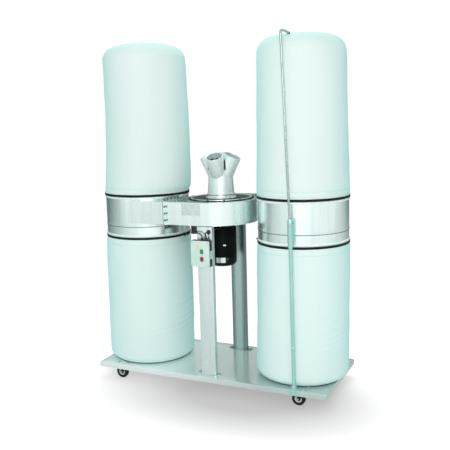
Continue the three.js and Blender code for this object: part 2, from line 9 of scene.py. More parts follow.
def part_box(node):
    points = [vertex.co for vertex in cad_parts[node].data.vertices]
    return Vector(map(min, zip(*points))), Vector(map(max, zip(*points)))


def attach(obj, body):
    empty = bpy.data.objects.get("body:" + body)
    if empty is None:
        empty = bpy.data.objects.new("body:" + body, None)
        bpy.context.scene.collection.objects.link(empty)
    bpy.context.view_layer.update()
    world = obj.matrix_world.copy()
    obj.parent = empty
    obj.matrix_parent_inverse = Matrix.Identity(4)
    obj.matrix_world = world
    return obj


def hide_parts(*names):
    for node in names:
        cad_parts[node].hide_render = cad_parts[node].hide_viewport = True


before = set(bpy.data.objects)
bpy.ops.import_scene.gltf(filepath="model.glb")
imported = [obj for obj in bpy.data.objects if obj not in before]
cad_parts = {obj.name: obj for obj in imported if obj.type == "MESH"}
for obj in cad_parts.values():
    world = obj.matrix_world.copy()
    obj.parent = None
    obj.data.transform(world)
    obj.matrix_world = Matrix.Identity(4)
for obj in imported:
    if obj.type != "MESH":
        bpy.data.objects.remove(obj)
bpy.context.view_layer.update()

MM = 0.001


# ---------------------------------------------------------------- places and sizes from the frame

def extent(node):
    """Lowest and highest corner of a CAD node, in millimetres."""
    low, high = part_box(node)
    return low / MM, high / MM


BASE_LOW, BASE_HIGH = extent("base_pan")
BAG_LOW, BAG_HIGH = extent("right_collection_bag")
COLLAR_LOW, COLLAR_HIGH = extent("right_collar")
HOUSING_LOW, HOUSING_HIGH = extent("blower_housing")
COVER_LOW, COVER_HIGH = extent("blower_cover")
LID_LOW, LID_HIGH = extent("switch_lid")
FAN_LOW, FAN_HIGH = extent("fan_cover")
BASE_TOP = BASE_HIGH.z
COLLAR_X = (BAG_LOW.x + BAG_HIGH.x) / 2
COLLAR_RADIUS = 254
CUFF_RADIUS = 257.3  # outside of a bag where it grips its collar
CLAMP_Z = {"lower": COLLAR_LOW.z + 12, "upper": COLLAR_HIGH.z - 12}
SHEET = 2.5
FLANGE_WIDTH = 25
DUCT_END = HOUSING_HIGH.x
DUCT_BOTTOM = HOUSING_LOW.z + FLANGE_WIDTH
DUCT_TOP = HOUSING_HIGH.z - FLANGE_WIDTH
DUCT_INNER = 119
SCROLL_START = 207
CORNERS = ("front_left", "front_right", "rear_left", "rear_right")
UP = (0, 0, 1)
VIEW_AZIMUTH = math.radians(25.08)  # the camera's place, round to the right of the switch
VIEW_RIGHT = Vector((math.cos(VIEW_AZIMUTH), math.sin(VIEW_AZIMUTH), 0))
SOFT_AZIMUTH = math.radians(25)  # where the studio is brightest for diffuse light
SHINE_AZIMUTH = math.radians(35)  # where it is brightest in reflections


# ---------------------------------------------------------------- shapes

class Shape:
    """Points in millimetres and the faces on them."""

    def __init__(self, points=(), faces=()):
        self.points = [Vector(p) for p in points]
        self.faces = [list(face) for face in faces]

    def join(self, *others):
        for other in others:
            start = len(self.points)
            self.points += other.points
            self.faces += [[start + i for i in face] for face in other.faces]
        return self

    def placed(self, matrix):
        return Shape([matrix @ p for p in self.points], self.faces)


def joined(shapes):
    return Shape().join(*shapes)


def move(x=0, y=0, z=0):
    return Matrix.Translation((x, y, z))


def turn(degrees, axis="Z"):
    return Matrix.Rotation(math.radians(degrees), 4, axis)


def both_ways(shape):
    """A shape and the same after half a turn about Z."""
    return joined([shape, shape.placed(turn(180))])


def four_ways(shape):
    """A shape at all four quarter turns about Z."""
    return joined([shape.placed(turn(90 * i)) for i in range(4)])


def across_x(x):
    """Stands a slab upright across X, with its outline's (x, y) along Y and Z."""
    return Matrix(((0, 0, 1, x), (1, 0, 0, 0), (0, 1, 0, 0), (0, 0, 0, 1)))


def across_y(y):
    """Stands a slab upright across Y, with its outline's (x, y) along X and Z."""
    return Matrix(((1, 0, 0, 0), (0, 0, 1, y), (0, 1, 0, 0), (0, 0, 0, 1)))


def polar(radius, angle, z=0.0):
    """A point from its distance to the Z axis, its angle and its height."""
    return Vector((radius * math.cos(angle), radius * math.sin(angle), z))


def net(rows, round_trip=False):
    """Squares between neighbouring rows of points. With round_trip each row closes on itself."""
    count = len(rows[0])
    faces = []
    for r in range(len(rows) - 1):
        for c in range(count if round_trip else count - 1):
            d = (c + 1) % count
            faces.append((r * count + c, r * count + d, (r + 1) * count + d, (r + 1) * count + c))
    return Shape([p for row in rows for p in row], faces)


def circle(radius, z=0.0, sides=96, start=0.0):
    """Points round Z, the first of them at start degrees."""
    return [polar(radius, math.radians(start) + 2 * math.pi * i / sides, z) for i in range(sides)]


def lathe(profile, sides=96):
    """A surface of revolution about Z from (radius, z) points."""
    return net([circle(r, z, sides) for r, z in profile], round_trip=True)


def arc(centre, radius, start, end, steps=6):
    """(x, y) points on an arc, with its angles in degrees."""
    angles = [math.radians(start + (end - start) * i / steps) for i in range(steps + 1)]
    return [(centre[0] + radius * math.cos(a), centre[1] + radius * math.sin(a)) for a in angles]


def ring(radius, sides, centre=(0, 0)):
    """A round outline for a slab or a hole in it."""
    return arc(centre, radius, 0, 360, sides)[:-1]


def drum(radius, low, high, edge=1.0, sides=48):
    """An upright cylinder with rounded edges."""
    profile = [(0, low), *arc((radius - edge, low + edge), edge, -90, 0, 3),
               *arc((radius - edge, high - edge), edge, 0, 90, 3), (0, high)]
    return lathe(profile, sides)


def tube(inner, outer, low, high, edge=0.6, sides=64):
    """An upright pipe with rounded edges."""
    corners = [((outer - edge, low + edge), -90), ((outer - edge, high - edge), 0),
               ((inner + edge, high - edge), 90), ((inner + edge, low + edge), 180)]
    profile = [p for centre, start in corners for p in arc(centre, edge, start, start + 90, 3)]
    return lathe([*profile, profile[0]], sides)


def towards(axis):
    """The turn that takes +Z to an axis."""
    return Vector((0, 0, 1)).rotation_difference(Vector(axis)).to_matrix().to_4x4()


def at(point, axis=(0, 0, 1)):
    """Places something made round Z at a point, along an axis."""
    return Matrix.Translation(point) @ towards(axis)


def smooth_path(points, steps=8):
    """A Catmull-Rom curve through the points."""
    p = [Vector(q) for q in points]
    p = [2 * p[0] - p[1], *p, 2 * p[-1] - p[-2]]
    path = []
    for a, b, c, d in zip(p, p[1:], p[2:], p[3:]):
        for i in range(steps):
            t = i / steps
            path.append(0.5 * (2 * b + (c - a) * t + (2 * a - 5 * b + 4 * c - d) * t ** 2
                               + (3 * b - a - 3 * c + d) * t ** 3))
    return [*path, p[-2]]


def sweep(path, radius, sides=16, loop=False):
    """A round bar along a path, closed at both ends unless the path is a loop."""
    path = [Vector(p) for p in path]
    count = len(path)
    tangents = []
    for i in range(count):
        before = path[i - 1] if loop or i else path[0]
        after = path[(i + 1) % count] if loop or i < count - 1 else path[-1]
        tangents.append((after - before).normalized())
    side = tangents[0].orthogonal().normalized()
    angles = [2 * math.pi * k / sides for k in range(sides)]
    rows = []
    for point, tangent in zip(path, tangents):
        side = (side - side.dot(tangent) * tangent).normalized()
        other = tangent.cross(side)
        rows.append([point + radius * (side * math.cos(a) + other * math.sin(a)) for a in angles])
    if loop:
        return net([*rows, rows[0]], round_trip=True)
    return net([[path[0]] * sides, *rows, [path[-1]] * sides], round_trip=True)


def slab(outline, low, high, holes=()):
    """A flat plate over z, from its (x, y) outline and holes."""
    work = bmesh.new()
    loops = [list(outline), *[list(h) for h in holes]]
    for loop in loops:
        corners = [work.verts.new((x, y, low)) for x, y in loop]
        for a, b in zip(corners, corners[1:] + corners[:1]):
            work.edges.new((a, b))
    bmesh.ops.triangle_fill(work, use_beauty=True, use_dissolve=False, edges=work.edges[:])
    rims = [e for e in work.edges if e.is_boundary]
    grown = bmesh.ops.extrude_face_region(work, geom=work.faces[:] + rims)
    for v in [g for g in grown["geom"] if isinstance(g, bmesh.types.BMVert)]:
        v.co.z = high
    work.verts.index_update()
    shape = Shape([v.co.copy() for v in work.verts], [[v.index for v in f.verts] for f in work.faces])
    work.free()
    return shape


def rounded(outline, radius, steps=4):
    """An outline with its corners rounded."""
    points = [Vector((*p, 0)).to_2d() for p in outline]
    result = []
    for i, corner in enumerate(points):
        before = (points[i - 1] - corner).normalized()
        after = (points[(i + 1) % len(points)] - corner).normalized()
        half = before.angle(after) / 2
        reach = radius / math.tan(half)
        centre = corner + (before + after).normalized() * radius / math.sin(half)
        start = corner + before * reach - centre
        end = corner + after * reach - centre
        sweep_angle = start.angle_signed(end)
        for k in range(steps + 1):
            spin = Matrix.Rotation(-sweep_angle * k / steps, 2)
            result.append(tuple(centre + spin @ start))
    return result


def rectangle(low, high, radius=0.0):
    corners = [(low[0], low[1]), (high[0], low[1]), (high[0], high[1]), (low[0], high[1])]
    return rounded(corners, radius) if radius else corners


def block(low, high, radius=0.0):
    """A box between two corners, with its upright edges rounded."""
    return slab(rectangle(low, high, radius), low[2], high[2])


def ribbon(path, thick):
    """The closed outline of a sheet of even thickness whose outer face follows the (x, y) path."""
    points = [Vector((*p, 0)).to_2d() for p in path]
    inner = []
    for i, point in enumerate(points):
        along = (points[min(i + 1, len(points) - 1)] - points[max(i - 1, 0)]).normalized()
        inner.append(point + Vector((-along.y, along.x)) * thick)
    return [tuple(p) for p in points] + [tuple(p) for p in reversed(inner)]


def bolt(point, axis, across=13.0, height=8.0, washer=0.0):
    """A hexagon head with a chamfered crown, and a washer under it."""
    flat = height * 0.86
    corner, crown = across * 0.57, across * 0.46
    shape = lathe([(corner, -0.5), (corner, flat), (crown, height), (0, height)], 6)
    if washer:
        shape.join(drum(washer, -0.5, 1.6, 0.4, 24))
    return shape.placed(at(point, axis))


def screw(point, axis, radius=4.0):
    """A pan-head screw with a cross recess."""
    profile = [(0, -0.5), (radius, -0.5), (radius, 1.0), (radius * 0.8, 2.4), (radius * 0.3, 2.9), (0, 3.0)]
    return lathe(profile, 20).placed(at(point, axis))


# ---------------------------------------------------------------- materials

class Nodes:
    """Adds nodes to a tree and links them."""

    def __init__(self, tree):
        self.tree = tree

    def put(self, socket, value):
        if isinstance(value, bpy.types.NodeSocket):
            self.tree.links.new(value, socket)
        else:
            socket.default_value = value

    def add(self, kind, **inputs):
        node = self.tree.nodes.new("ShaderNode" + kind)
        for socket, value in inputs.items():
            self.put(node.inputs[socket], value)
        return node

    def calculate(self, kind, operation, *values):
        """The outputs of a Math or VectorMath node."""
        node = self.add(kind)
        node.operation = operation
        for socket, value in zip(node.inputs, values):
            self.put(socket, value)
        return node.outputs

    def span(self, value, start, end, low=0.0, high=1.0, kind="LINEAR"):
        """Runs from low to high as value goes from start to end."""
        node = self.add("MapRange", Value=value)
        node.interpolation_type = kind
        for socket, number in zip(("From Min", "From Max", "To Min", "To Max"), (start, end, low, high)):
            node.inputs[socket].default_value = number
        return node.outputs[0]

    def ramp(self, value, shades):
        """Blends through (position, colour) stops as value goes from 0 to 1."""
        node = self.add("ValToRGB", Fac=value)
        stops = node.color_ramp.elements
        while len(stops) < len(shades):
            stops.new(0.5)
        for stop, (position, colour) in zip(stops, shades):
            stop.position = position
            stop.color = (*colour, 1)
        return node.outputs[0]

    def mixed(self, share, first, second):
        """A mix of two shaders."""
        node = self.add("MixShader", Fac=share)
        self.put(node.inputs[1], first)
        self.put(node.inputs[2], second)
        return node.outputs[0]

    def forward(self, vector, azimuth):
        """How far a vector reaches towards the front, azimuth round to the right."""
        front = (math.sin(azimuth), -math.cos(azimuth), 0)
        return self.calculate("VectorMath", "DOT_PRODUCT", vector, front)["Value"]

    def by_ray(self, soft, shiny, seen, output):
        """Shows one shader to diffuse light, one to reflections and one to the camera."""
        rays = self.add("LightPath").outputs
        lit = self.mixed(rays["Is Glossy Ray"], soft, shiny)
        self.put(output.inputs["Surface"], self.mixed(rays["Is Camera Ray"], lit, seen))


class Look(Nodes):
    """A principled material, given detail by short chains of nodes in the object's own coordinates."""

    def __init__(self, name, slot, colour, roughness, metallic=0.0, **constants):
        self.slot = slot
        self.material = bpy.data.materials.new(name)
        self.material.use_nodes = True
        super().__init__(self.material.node_tree)
        self.shader = self.tree.nodes["Principled BSDF"]
        self.shader.inputs["Base Color"].default_value = (*colour, 1)
        self.shader.inputs["Roughness"].default_value = roughness
        self.shader.inputs["Metallic"].default_value = metallic
        for socket, value in constants.items():
            self.shader.inputs[socket.replace("_", " ")].default_value = value
        self.place = self.add("TexCoord").outputs["Object"]
        self.last_bump = None

    def stretched(self, x=1.0, y=1.0, z=1.0):
        return self.add("Mapping", Vector=self.place, Scale=(x, y, z)).outputs[0]

    def noise(self, scale, detail=3.0, vector=None):
        """Cloudy noise with so many patches a metre."""
        node = self.add("TexNoise", Vector=vector or self.place, Scale=scale, Detail=detail)
        return node.outputs[0]

    def threads(self, per_metre, direction):
        node = self.add("TexWave", Vector=self.place, Scale=per_metre / 3.2, Distortion=0.4)
        node.bands_direction = direction
        return node.outputs[1]

    def tint(self, value, low, high, start=0.3, end=0.7):
        """Blends the colour from low to high as value goes from start to end."""
        self.put(self.shader.inputs["Base Color"], self.ramp(value, ((start, low), (end, high))))

    def gloss(self, value, low, high):
        """Blends the roughness over the middle of a noise."""
        self.put(self.shader.inputs["Roughness"], self.span(value, 0.3, 0.7, low, high))

    def bump(self, height, strength, depth):
        node = self.add("Bump", Height=height, Strength=strength, Distance=depth * MM)
        if self.last_bump:
            self.put(node.inputs["Normal"], self.last_bump)
        self.last_bump = node.outputs[0]
        self.put(self.shader.inputs["Normal"], self.last_bump)

    def distance_along(self, axis, middle):
        """Distance in metres from a middle value of x (0), y (1) or z (2)."""
        apart = self.add("SeparateXYZ", Vector=self.place)
        off = self.calculate("Math", "SUBTRACT", apart.outputs[axis], middle)[0]
        return self.calculate("Math", "ABSOLUTE", off)[0]

    def length(self, vector):
        return self.calculate("VectorMath", "LENGTH", vector)["Value"]


def upright_sheet(name, light, roughness, metallic):
    """Satin sheet metal: reflections drawn out in soft upright streaks by the rolling of the sheet."""
    look = Look(name, "sheet_paint", light, roughness, metallic)
    look.gloss(look.noise(1.0, 3, look.stretched(60, 60, 5)), roughness - 0.05, roughness + 0.08)
    look.bump(look.noise(1.0, 2, look.stretched(14, 14, 0.9)), 0.5, 5.0)
    look.bump(look.noise(1.0, 2, look.stretched(900, 900, 40)), 0.08, 0.2)
    return look


def bright_sheet(name, dark, light, roughness, metallic):
    """The sheet of the ducts, collars, manifold and front pillar."""
    look = upright_sheet(name, light, roughness, metallic)
    look.tint(look.noise(1.0, 4, look.stretched(26, 26, 1.6)), dark, light)
    return look


def painted_shade_sheet():
    """The same sheet on the rear pillar, painted darker as shade from the machine, with more painted shade
    towards its two bends.
    """
    look = upright_sheet("painted_shade_sheet", (0.46, 0.58, 0.56), 0.28, 0.9)
    low, high = extent("rear_pillar")
    middle = (low.x + high.x) / 2 * MM
    half_web = 0.047
    # Painted shade: the colour darkens from the middle of the web towards its two bends.
    off = look.distance_along(0, middle)
    look.tint(off, (0.47, 0.61, 0.585), (0.21, 0.285, 0.28), half_web * 0.3, half_web * 0.75)
    return look


def flat_sheet(name, slot, light, roughness, metallic):
    """The same sheet lying flat: soft even reflections with faint rolling marks along the machine."""
    look = Look(name, slot, light, roughness, metallic)
    look.gloss(look.noise(1.0, 3, look.stretched(3, 16, 3)), roughness - 0.04, roughness + 0.06)
    look.bump(look.noise(1.0, 2, look.stretched(1.2, 3, 1.2)), 0.25, 1.5)
    look.bump(look.noise(1.0, 2, look.stretched(30, 500, 30)), 0.05, 0.1)
    return look


def bright_plate():
    """The blower's flat end plates."""
    look = flat_sheet("bright_plate", "sheet_paint", (0.72, 0.82, 0.81), 0.2, 0.92)
    look.tint(look.noise(1.0, 4, look.stretched(1.5, 7, 1.5)), (0.62, 0.72, 0.71), (0.72, 0.82, 0.81))
    return look


def base_sheet():
    """The base's glossy grey sheet, with painted light: paler towards its left end and darker towards its
    right.
    """
    look = flat_sheet("base_sheet_metal", "base_paint", (0.88, 0.95, 0.94), 0.15, 0.6)
    left_end = -0.65
    # Painted light: the colour runs from pale at the left end to darker grey towards the right end.
    look.tint(look.distance_along(0, left_end), (0.90, 0.97, 0.96), (0.56, 0.65, 0.64), 0.30, 0.98)
    return look


def tube_paint(name, slot, dark, light, roughness):
    """Semi-gloss paint with a little orange peel."""
    look = Look(name, slot, light, roughness, 0.5, Coat_Weight=0.5, Coat_Roughness=0.1)
    look.tint(look.noise(5, 4), dark, light)
    look.gloss(look.noise(14, 4), roughness - 0.06, roughness + 0.08)
    look.bump(look.noise(420, 2), 0.12, 0.25)
    return look


def dark_paint(name, slot, dark, light, roughness, grain):
    look = Look(name, slot, dark, roughness, 0.0, Specular_IOR_Level=0.12)
    look.tint(look.noise(25, 5), dark, light)
    look.gloss(look.noise(40, 4), roughness - 0.08, roughness + 0.1)
    look.bump(look.noise(grain, 3), 0.3, 0.4)
    return look


def metal(name, slot, dark, light, roughness):
    look = Look(name, slot, light, roughness, 0.95)
    look.tint(look.noise(60, 5), dark, light)
    look.gloss(look.noise(180, 4), roughness - 0.08, roughness + 0.14)
    look.bump(look.noise(700, 3), 0.15, 0.15)
    return look


def bag_cloth(name, slot, dark, light, threads, fuzz):
    """Felted filter cloth: crossed threads, fibre fuzz and soft unevenness."""
    look = Look(name, slot, light, 0.9, 0.0, Sheen_Weight=0.6, Sheen_Roughness=0.75,
                Sheen_Tint=(0.16, 0.80, 0.75, 1))
    look.tint(look.noise(2.2, 5, look.stretched(1.6, 1.6, 0.5)), dark, light, 0.25, 0.75)
    look.gloss(look.noise(30, 3), 0.82, 0.95)
    weave = look.calculate("Math", "MULTIPLY", look.threads(threads, "X"), look.threads(threads, "Z"))[0]
    look.bump(weave, 0.25, 0.35)
    look.bump(look.noise(fuzz, 4), 0.4, 0.5)
    look.bump(look.noise(9, 3, look.stretched(1, 1, 0.45)), 0.5, 3.0)
    return look


def plastic(name, slot, dark, light, roughness, grain):
    look = Look(name, slot, light, roughness)
    look.tint(look.noise(18, 3), dark, light)
    look.gloss(look.noise(50, 3), roughness - 0.05, roughness + 0.08)
    look.bump(look.noise(grain, 2), 0.2, 0.2)
    return look


def rubber():
    look = Look("tyre_rubber", "tyre", (0.02, 0.022, 0.022), 0.75, Specular_IOR_Level=0.2)
    look.tint(look.noise(45, 5), (0.006, 0.008, 0.008), (0.018, 0.020, 0.020))
    look.gloss(look.noise(60, 3), 0.62, 0.85)
    look.bump(look.noise(900, 3), 0.35, 0.3)
    return look


BRIGHT_SHEET = bright_sheet("bright_sheet", (0.70, 0.82, 0.81), (0.79, 0.90, 0.885), 0.24, 0.85)
PAINTED_SHADE_SHEET = painted_shade_sheet()
# A darker copy of the branch sheet: painted shade inside the port bores.
BORE_SHADE_SHEET = bright_sheet("bore_shade_sheet", (0.52, 0.64, 0.62), (0.62, 0.73, 0.71), 0.35, 0.3)
# A paler, less metallic copy of the sheet: painted highlight on the collars' rolled beads.
BEAD_HIGHLIGHT_SHEET = bright_sheet("bead_highlight_sheet", (0.82, 0.90, 0.89), (0.88, 0.95, 0.94), 0.35, 0.1)
BRIGHT_PLATE = bright_plate()
BRANCH_SHEET = bright_sheet("branch_sheet", (0.70, 0.80, 0.79), (0.80, 0.88, 0.87), 0.3, 0.35)
BASE_SHEET = base_sheet()
BLACK_PAINT = dark_paint("black_paint", "black_paint", (0.004, 0.009, 0.010), (0.011, 0.02, 0.022), 0.34, 500)
MOTOR_PAINT = dark_paint("motor_cast_paint", "motor_paint", (0.002, 0.006, 0.005), (0.006, 0.013, 0.01),
                         0.5, 260)
ZINC = metal("zinc_plate", "steel", (0.42, 0.45, 0.45), (0.62, 0.65, 0.65), 0.32)
CAST = metal("cast_aluminium", "cast", (0.30, 0.32, 0.32), (0.48, 0.50, 0.50), 0.5)
COPPER = metal("winding_copper", "copper", (0.30, 0.14, 0.07), (0.62, 0.33, 0.17), 0.42)
POLE_PAINT = tube_paint("pole_paint", "pole_paint", (0.31, 0.60, 0.54), (0.40, 0.70, 0.64), 0.2)
ROD_PAINT = tube_paint("rod_paint", "pole_paint", (0.30, 0.42, 0.40), (0.38, 0.50, 0.475), 0.24)
FILTER_CLOTH = bag_cloth("filter_felt", "cloth", (0.71, 0.76, 0.74), (0.77, 0.80, 0.78), 450, 650)
BAG_CLOTH = bag_cloth("collection_cloth", "film", (0.70, 0.79, 0.775), (0.76, 0.825, 0.81), 600, 500)
HEM_CLOTH = bag_cloth("hem_cloth", "cloth", (0.50, 0.72, 0.70), (0.58, 0.77, 0.75), 500, 650)
# Near black: painted contact shadow at the foot of each collection bag.
CONTACT_SHADE_CLOTH = plastic("contact_shade_cloth", "film", (0.02, 0.05, 0.05), (0.04, 0.08, 0.08), 0.8, 500)
RUBBER = rubber()
# Dark grey: painted shade at the collars' seams.
SEAM_SHADE_PAINT = plastic("grey_seam_painted_shade", "black_plastic", (0.10, 0.15, 0.145), (0.16, 0.22, 0.21), 0.6, 500)
DARK_BOLT = metal("dark_bolt", "steel", (0.05, 0.065, 0.065), (0.13, 0.15, 0.15), 0.38)
BLACK_PLASTIC = plastic("black_plastic", "black_plastic", (0.01, 0.014, 0.014), (0.022, 0.027, 0.027),
                        0.42, 800)
PALE_PLASTIC = plastic("pale_plastic", "switch_plastic", (0.52, 0.68, 0.61), (0.60, 0.75, 0.68), 0.38, 700)
GREEN_PLASTIC = plastic("green_plastic", "green", (0.01, 0.20, 0.07), (0.02, 0.28, 0.10), 0.3, 600)
RED_PLASTIC = plastic("red_plastic", "red", (0.25, 0.012, 0.03), (0.36, 0.02, 0.045), 0.3, 600)
YELLOW_FILM = plastic("yellow_film", "switch_plastic", (0.66, 0.60, 0.24), (0.72, 0.66, 0.32), 0.4, 500)
HUB_PLASTIC = plastic("hub_plastic", "steel", (0.48, 0.54, 0.53), (0.60, 0.65, 0.64), 0.42, 500)
LABEL_FOIL = metal("label_foil", "steel", (0.60, 0.70, 0.69), (0.74, 0.82, 0.81), 0.38)


# ---------------------------------------------------------------- pieces

def piece(name, shape, look, body="root", stands_for=(), bevel=0.0, crease=35):
    """Makes an object from a shape, rides it on its body and hides the CAD nodes that it stands for."""
    mesh = bpy.data.meshes.new(name)
    mesh.from_pydata([p * MM for p in shape.points], [], shape.faces)
    work = bmesh.new()
    work.from_mesh(mesh)
    bmesh.ops.remove_doubles(work, verts=work.verts, dist=0.01 * MM)
    bmesh.ops.recalc_face_normals(work, faces=work.faces)
    work.to_mesh(mesh)
    work.free()
    for polygon in mesh.polygons:
        polygon.use_smooth = True
    mesh.set_sharp_from_angle(angle=math.radians(crease))
    mesh.materials.append(look.material)
    thing = bpy.data.objects.new(name, mesh)
    bpy.context.scene.collection.objects.link(thing)
    if bevel:
        modifier = thing.modifiers.new("edges", "BEVEL")
        modifier.width = bevel * MM
        modifier.segments = 2
        modifier.limit_method = "ANGLE"
        modifier.angle_limit = math.radians(40)
        modifier.harden_normals = True
    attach(thing, body)
    if stands_for:
        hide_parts(*stands_for)
    return thing


def dress(node, look):
    """Gives a CAD node that stays visible its material."""
    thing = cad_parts[node]
    thing.data.materials.clear()
    thing.data.materials.append(look.material)


# ---------------------------------------------------------------- base and pillars

def base():
    """The base sheet, folded down on all four sides round a small bend radius."""
    bend, half = 5.0, (BASE_HIGH.x, BASE_HIGH.y)

    def loop(inset, z):
        x, y = half[0] - inset, half[1] - inset
        outline = rectangle((-x, -y), (x, y), 6 - min(inset, 4))
        return [Vector((*p, z)) for p in outline]

    outer = [loop(0, BASE_LOW.z)]
    outer += [loop(bend - x, BASE_TOP - bend + y) for x, y in arc((0, 0), bend, 0, 90, 5)]
    outer += [loop(60, BASE_TOP), loop(200, BASE_TOP)]
    under_top = BASE_TOP - SHEET
    inner = [loop(SHEET + 130, under_top), loop(SHEET + 4, under_top), loop(SHEET, under_top - 4),
             loop(SHEET, BASE_LOW.z), outer[0]]
    sheet = net(outer, round_trip=True)
    count = len(outer[0])
    sheet.faces.append([(len(outer) - 1) * count + i for i in range(count)])
    under = net(inner, round_trip=True)
    under.faces.append(list(range(count)))
    piece("base_sheet", sheet.join(under), BASE_SHEET, stands_for=["base_pan"])
    slits = [sweep([(sx * (half[0] - 0.6), sy * (half[1] - 0.6), BASE_LOW.z + 1),
                    (sx * (half[0] - 0.6), sy * (half[1] - 0.6), BASE_TOP - bend)], 0.9, 8)
             for sx in (-1, 1) for sy in (-1, 1)]
    piece("base_corner_welds", joined(slits), BASE_SHEET)
    bolts = [bolt((sx * 572 + dx, sy * 237 + dy, BASE_TOP), UP, 10, 5.5, 8)
             for sx in (-1, 1) for sy in (-1, 1) for dx in (-28, 28) for dy in (-20, 20)]
    piece("caster_mount_bolts", joined(bolts), ZINC)


def channel(left, right, front, depth, wall, bend):
    """Outline of a folded channel with its web at the front and its edges folded back."""
    back = front + depth
    outer = [(left, back), *arc((left + bend, front + bend), bend, 180, 270, 5),
             *arc((right - bend, front + bend), bend, 270, 360, 5), (right, back)]
    tight = bend - wall
    inner = [(right - wall, back), *arc((right - bend, front + bend), tight, 360, 270, 5),
             *arc((left + bend, front + bend), tight, 270, 180, 5), (left + wall, back)]
    return outer + inner


def pillars():
    """Two folded channels with bolted feet. The rear one is the front one moved back."""
    low, high = extent("front_pillar")
    wall, ear = 3.0, 28.0
    left, right, front = low.x + ear, high.x - ear, low.y
    top = high.z
    bottom = BASE_TOP + 0.3
    web = slab(channel(left, right, front, 30, wall, 5), bottom, top)
    foot = slab(rectangle((low.x, front - 0.5), (high.x, front + 40), 5), bottom, bottom + wall)
    head = slab(rectangle((left, front), (right, front + 40), 3), top - wall, top)
    bead = sweep([(x, front - 0.5, bottom + wall + 0.6) for x in (left + 1, right - 1)], 1.4, 8)
    body = joined([web, foot, head, bead])
    ears = low.x + ear / 2, high.x - ear / 2
    bolts = [bolt((x, front + 16, bottom + wall), UP, 13, 7.5, 11) for x in ears]
    corner_bolts = [bolt((x, front + 34, bottom + wall), UP, 10, 5, 8) for x in (left + 16, right - 16)]
    piece("front_pillar_sheet", body, BRIGHT_SHEET, stands_for=["front_pillar"], bevel=0.6)
    piece("front_pillar_bolts", joined(bolts + corner_bolts), ZINC)
    rear = extent("rear_pillar")[0] - low
    further = move(rear.x, rear.y)
    # The rear pillar wears the darker copy of the sheet: painted shade.
    piece("rear_pillar_sheet", body.placed(further), PAINTED_SHADE_SHEET, stands_for=["rear_pillar"], bevel=0.6)
    piece("rear_pillar_bolts", joined(bolts + corner_bolts).placed(further), ZINC)


# ---------------------------------------------------------------- blower

def scroll_wall():
    """Outer face of one scroll sheet from above: a duct's inner wall, the scroll, then the other duct."""
    steps = 56
    tongue = math.asin(DUCT_INNER / SCROLL_START)
    path = [(DUCT_END, DUCT_INNER)]
    for i in range(steps + 1):
        grown = i / steps
        angle = tongue + (-math.pi / 2 - tongue) * grown
        radius = SCROLL_START + (COLLAR_RADIUS - SCROLL_START) * grown
        path.append((radius * math.cos(angle), radius * math.sin(angle)))
    path.append((-DUCT_END, -COLLAR_RADIUS))
    return path


def duct_outline(grow=0.0, radius=0.0):
    """The duct's section in (y, z), grown on all sides."""
    low, high = (DUCT_INNER, DUCT_BOTTOM), (COLLAR_RADIUS, DUCT_TOP)
    return rectangle([v - grow for v in low], [v + grow for v in high], radius)


def duct_flange(face):
    """A flange frame round a duct's mouth, 4 mm thick. face is the x of its mating face."""
    return slab(duct_outline(FLANGE_WIDTH, 4), 0, 4, [duct_outline(-SHEET)]).placed(across_x(face))


def flange_bolt_places():
    """(y, z) of the 16 bolts round a duct's flange."""
    middle = FLANGE_WIDTH / 2
    low_y, high_y = DUCT_INNER - middle, COLLAR_RADIUS + middle
    low_z, high_z = DUCT_BOTTOM - middle, DUCT_TOP + middle
    places = [(low_y + (high_y - low_y) * i / 4, z) for i in range(5) for z in (low_z, high_z)]
    places += [(y, low_z + (high_z - low_z) * i / 4) for i in (1, 2, 3) for y in (low_y, high_y)]
    return places


def blower():
    """The scroll with its two ducts, rim seams, flanges and bolts, painted shade along the flange joints, and
    a blank plate.
    """
    wall = scroll_wall()
    whole = wall + [(-x, -y) for x, y in wall]
    band = slab(ribbon(wall, -SHEET), DUCT_BOTTOM + 1, DUCT_TOP - 1)
    top = slab(whole, DUCT_TOP - SHEET, DUCT_TOP, [ring(178, 96)])
    bottom = slab(whole, DUCT_BOTTOM, DUCT_BOTTOM + SHEET, [ring(34, 48)])
    flange = duct_flange(DUCT_END - 4)
    piece("blower_scroll", joined([both_ways(band), both_ways(flange)]), BRIGHT_SHEET,
          stands_for=["blower_housing"], bevel=0.5)
    piece("blower_end_plates", joined([top, bottom]), BRIGHT_PLATE, bevel=0.5)
    rims = [sweep([(*p, z) for p in wall[1:]], 1.6, 10) for z in (DUCT_TOP - 1.6, DUCT_BOTTOM + 1.6)]
    piece("blower_rim_seams", joined(both_ways(rim) for rim in rims), BRIGHT_SHEET)
    heads = [bolt((DUCT_END - 4, y, z), (-1, 0, 0), 8, 4.5, 6.5) for y, z in flange_bolt_places()]
    nuts = [bolt((DUCT_END + 4.3, y, z), (1, 0, 0), 8, 5.0, 6.5) for y, z in flange_bolt_places()]
    piece("flange_bolts", both_ways(joined(heads + nuts)), DARK_BOLT)
    # Painted shade: a black strip round each flange joint, where the gap between the flanges lies in shade.
    joint_shade = sweep([(DUCT_END + 0.15, *p) for p in duct_outline(FLANGE_WIDTH - 1.5, 3)], 2.2, 8, loop=True)
    piece("flange_joint_painted_shade", both_ways(joint_shade), BLACK_PLASTIC)
    plate = Vector((-72, -COLLAR_RADIUS - 0.2, 1065))
    label = slab(rectangle((-59, -33), (59, 33), 5), 0, 0.8).placed(at(plate, (0, -1, 0)))
    piece("duct_plate", label, LABEL_FOIL, bevel=0.2)
    rivets = [screw(plate + Vector((x, -0.6, z)), (0, -1, 0), 1.8) for x in (-54, 54) for z in (-28, 28)]
    piece("duct_plate_rivets", joined(rivets), ZINC)


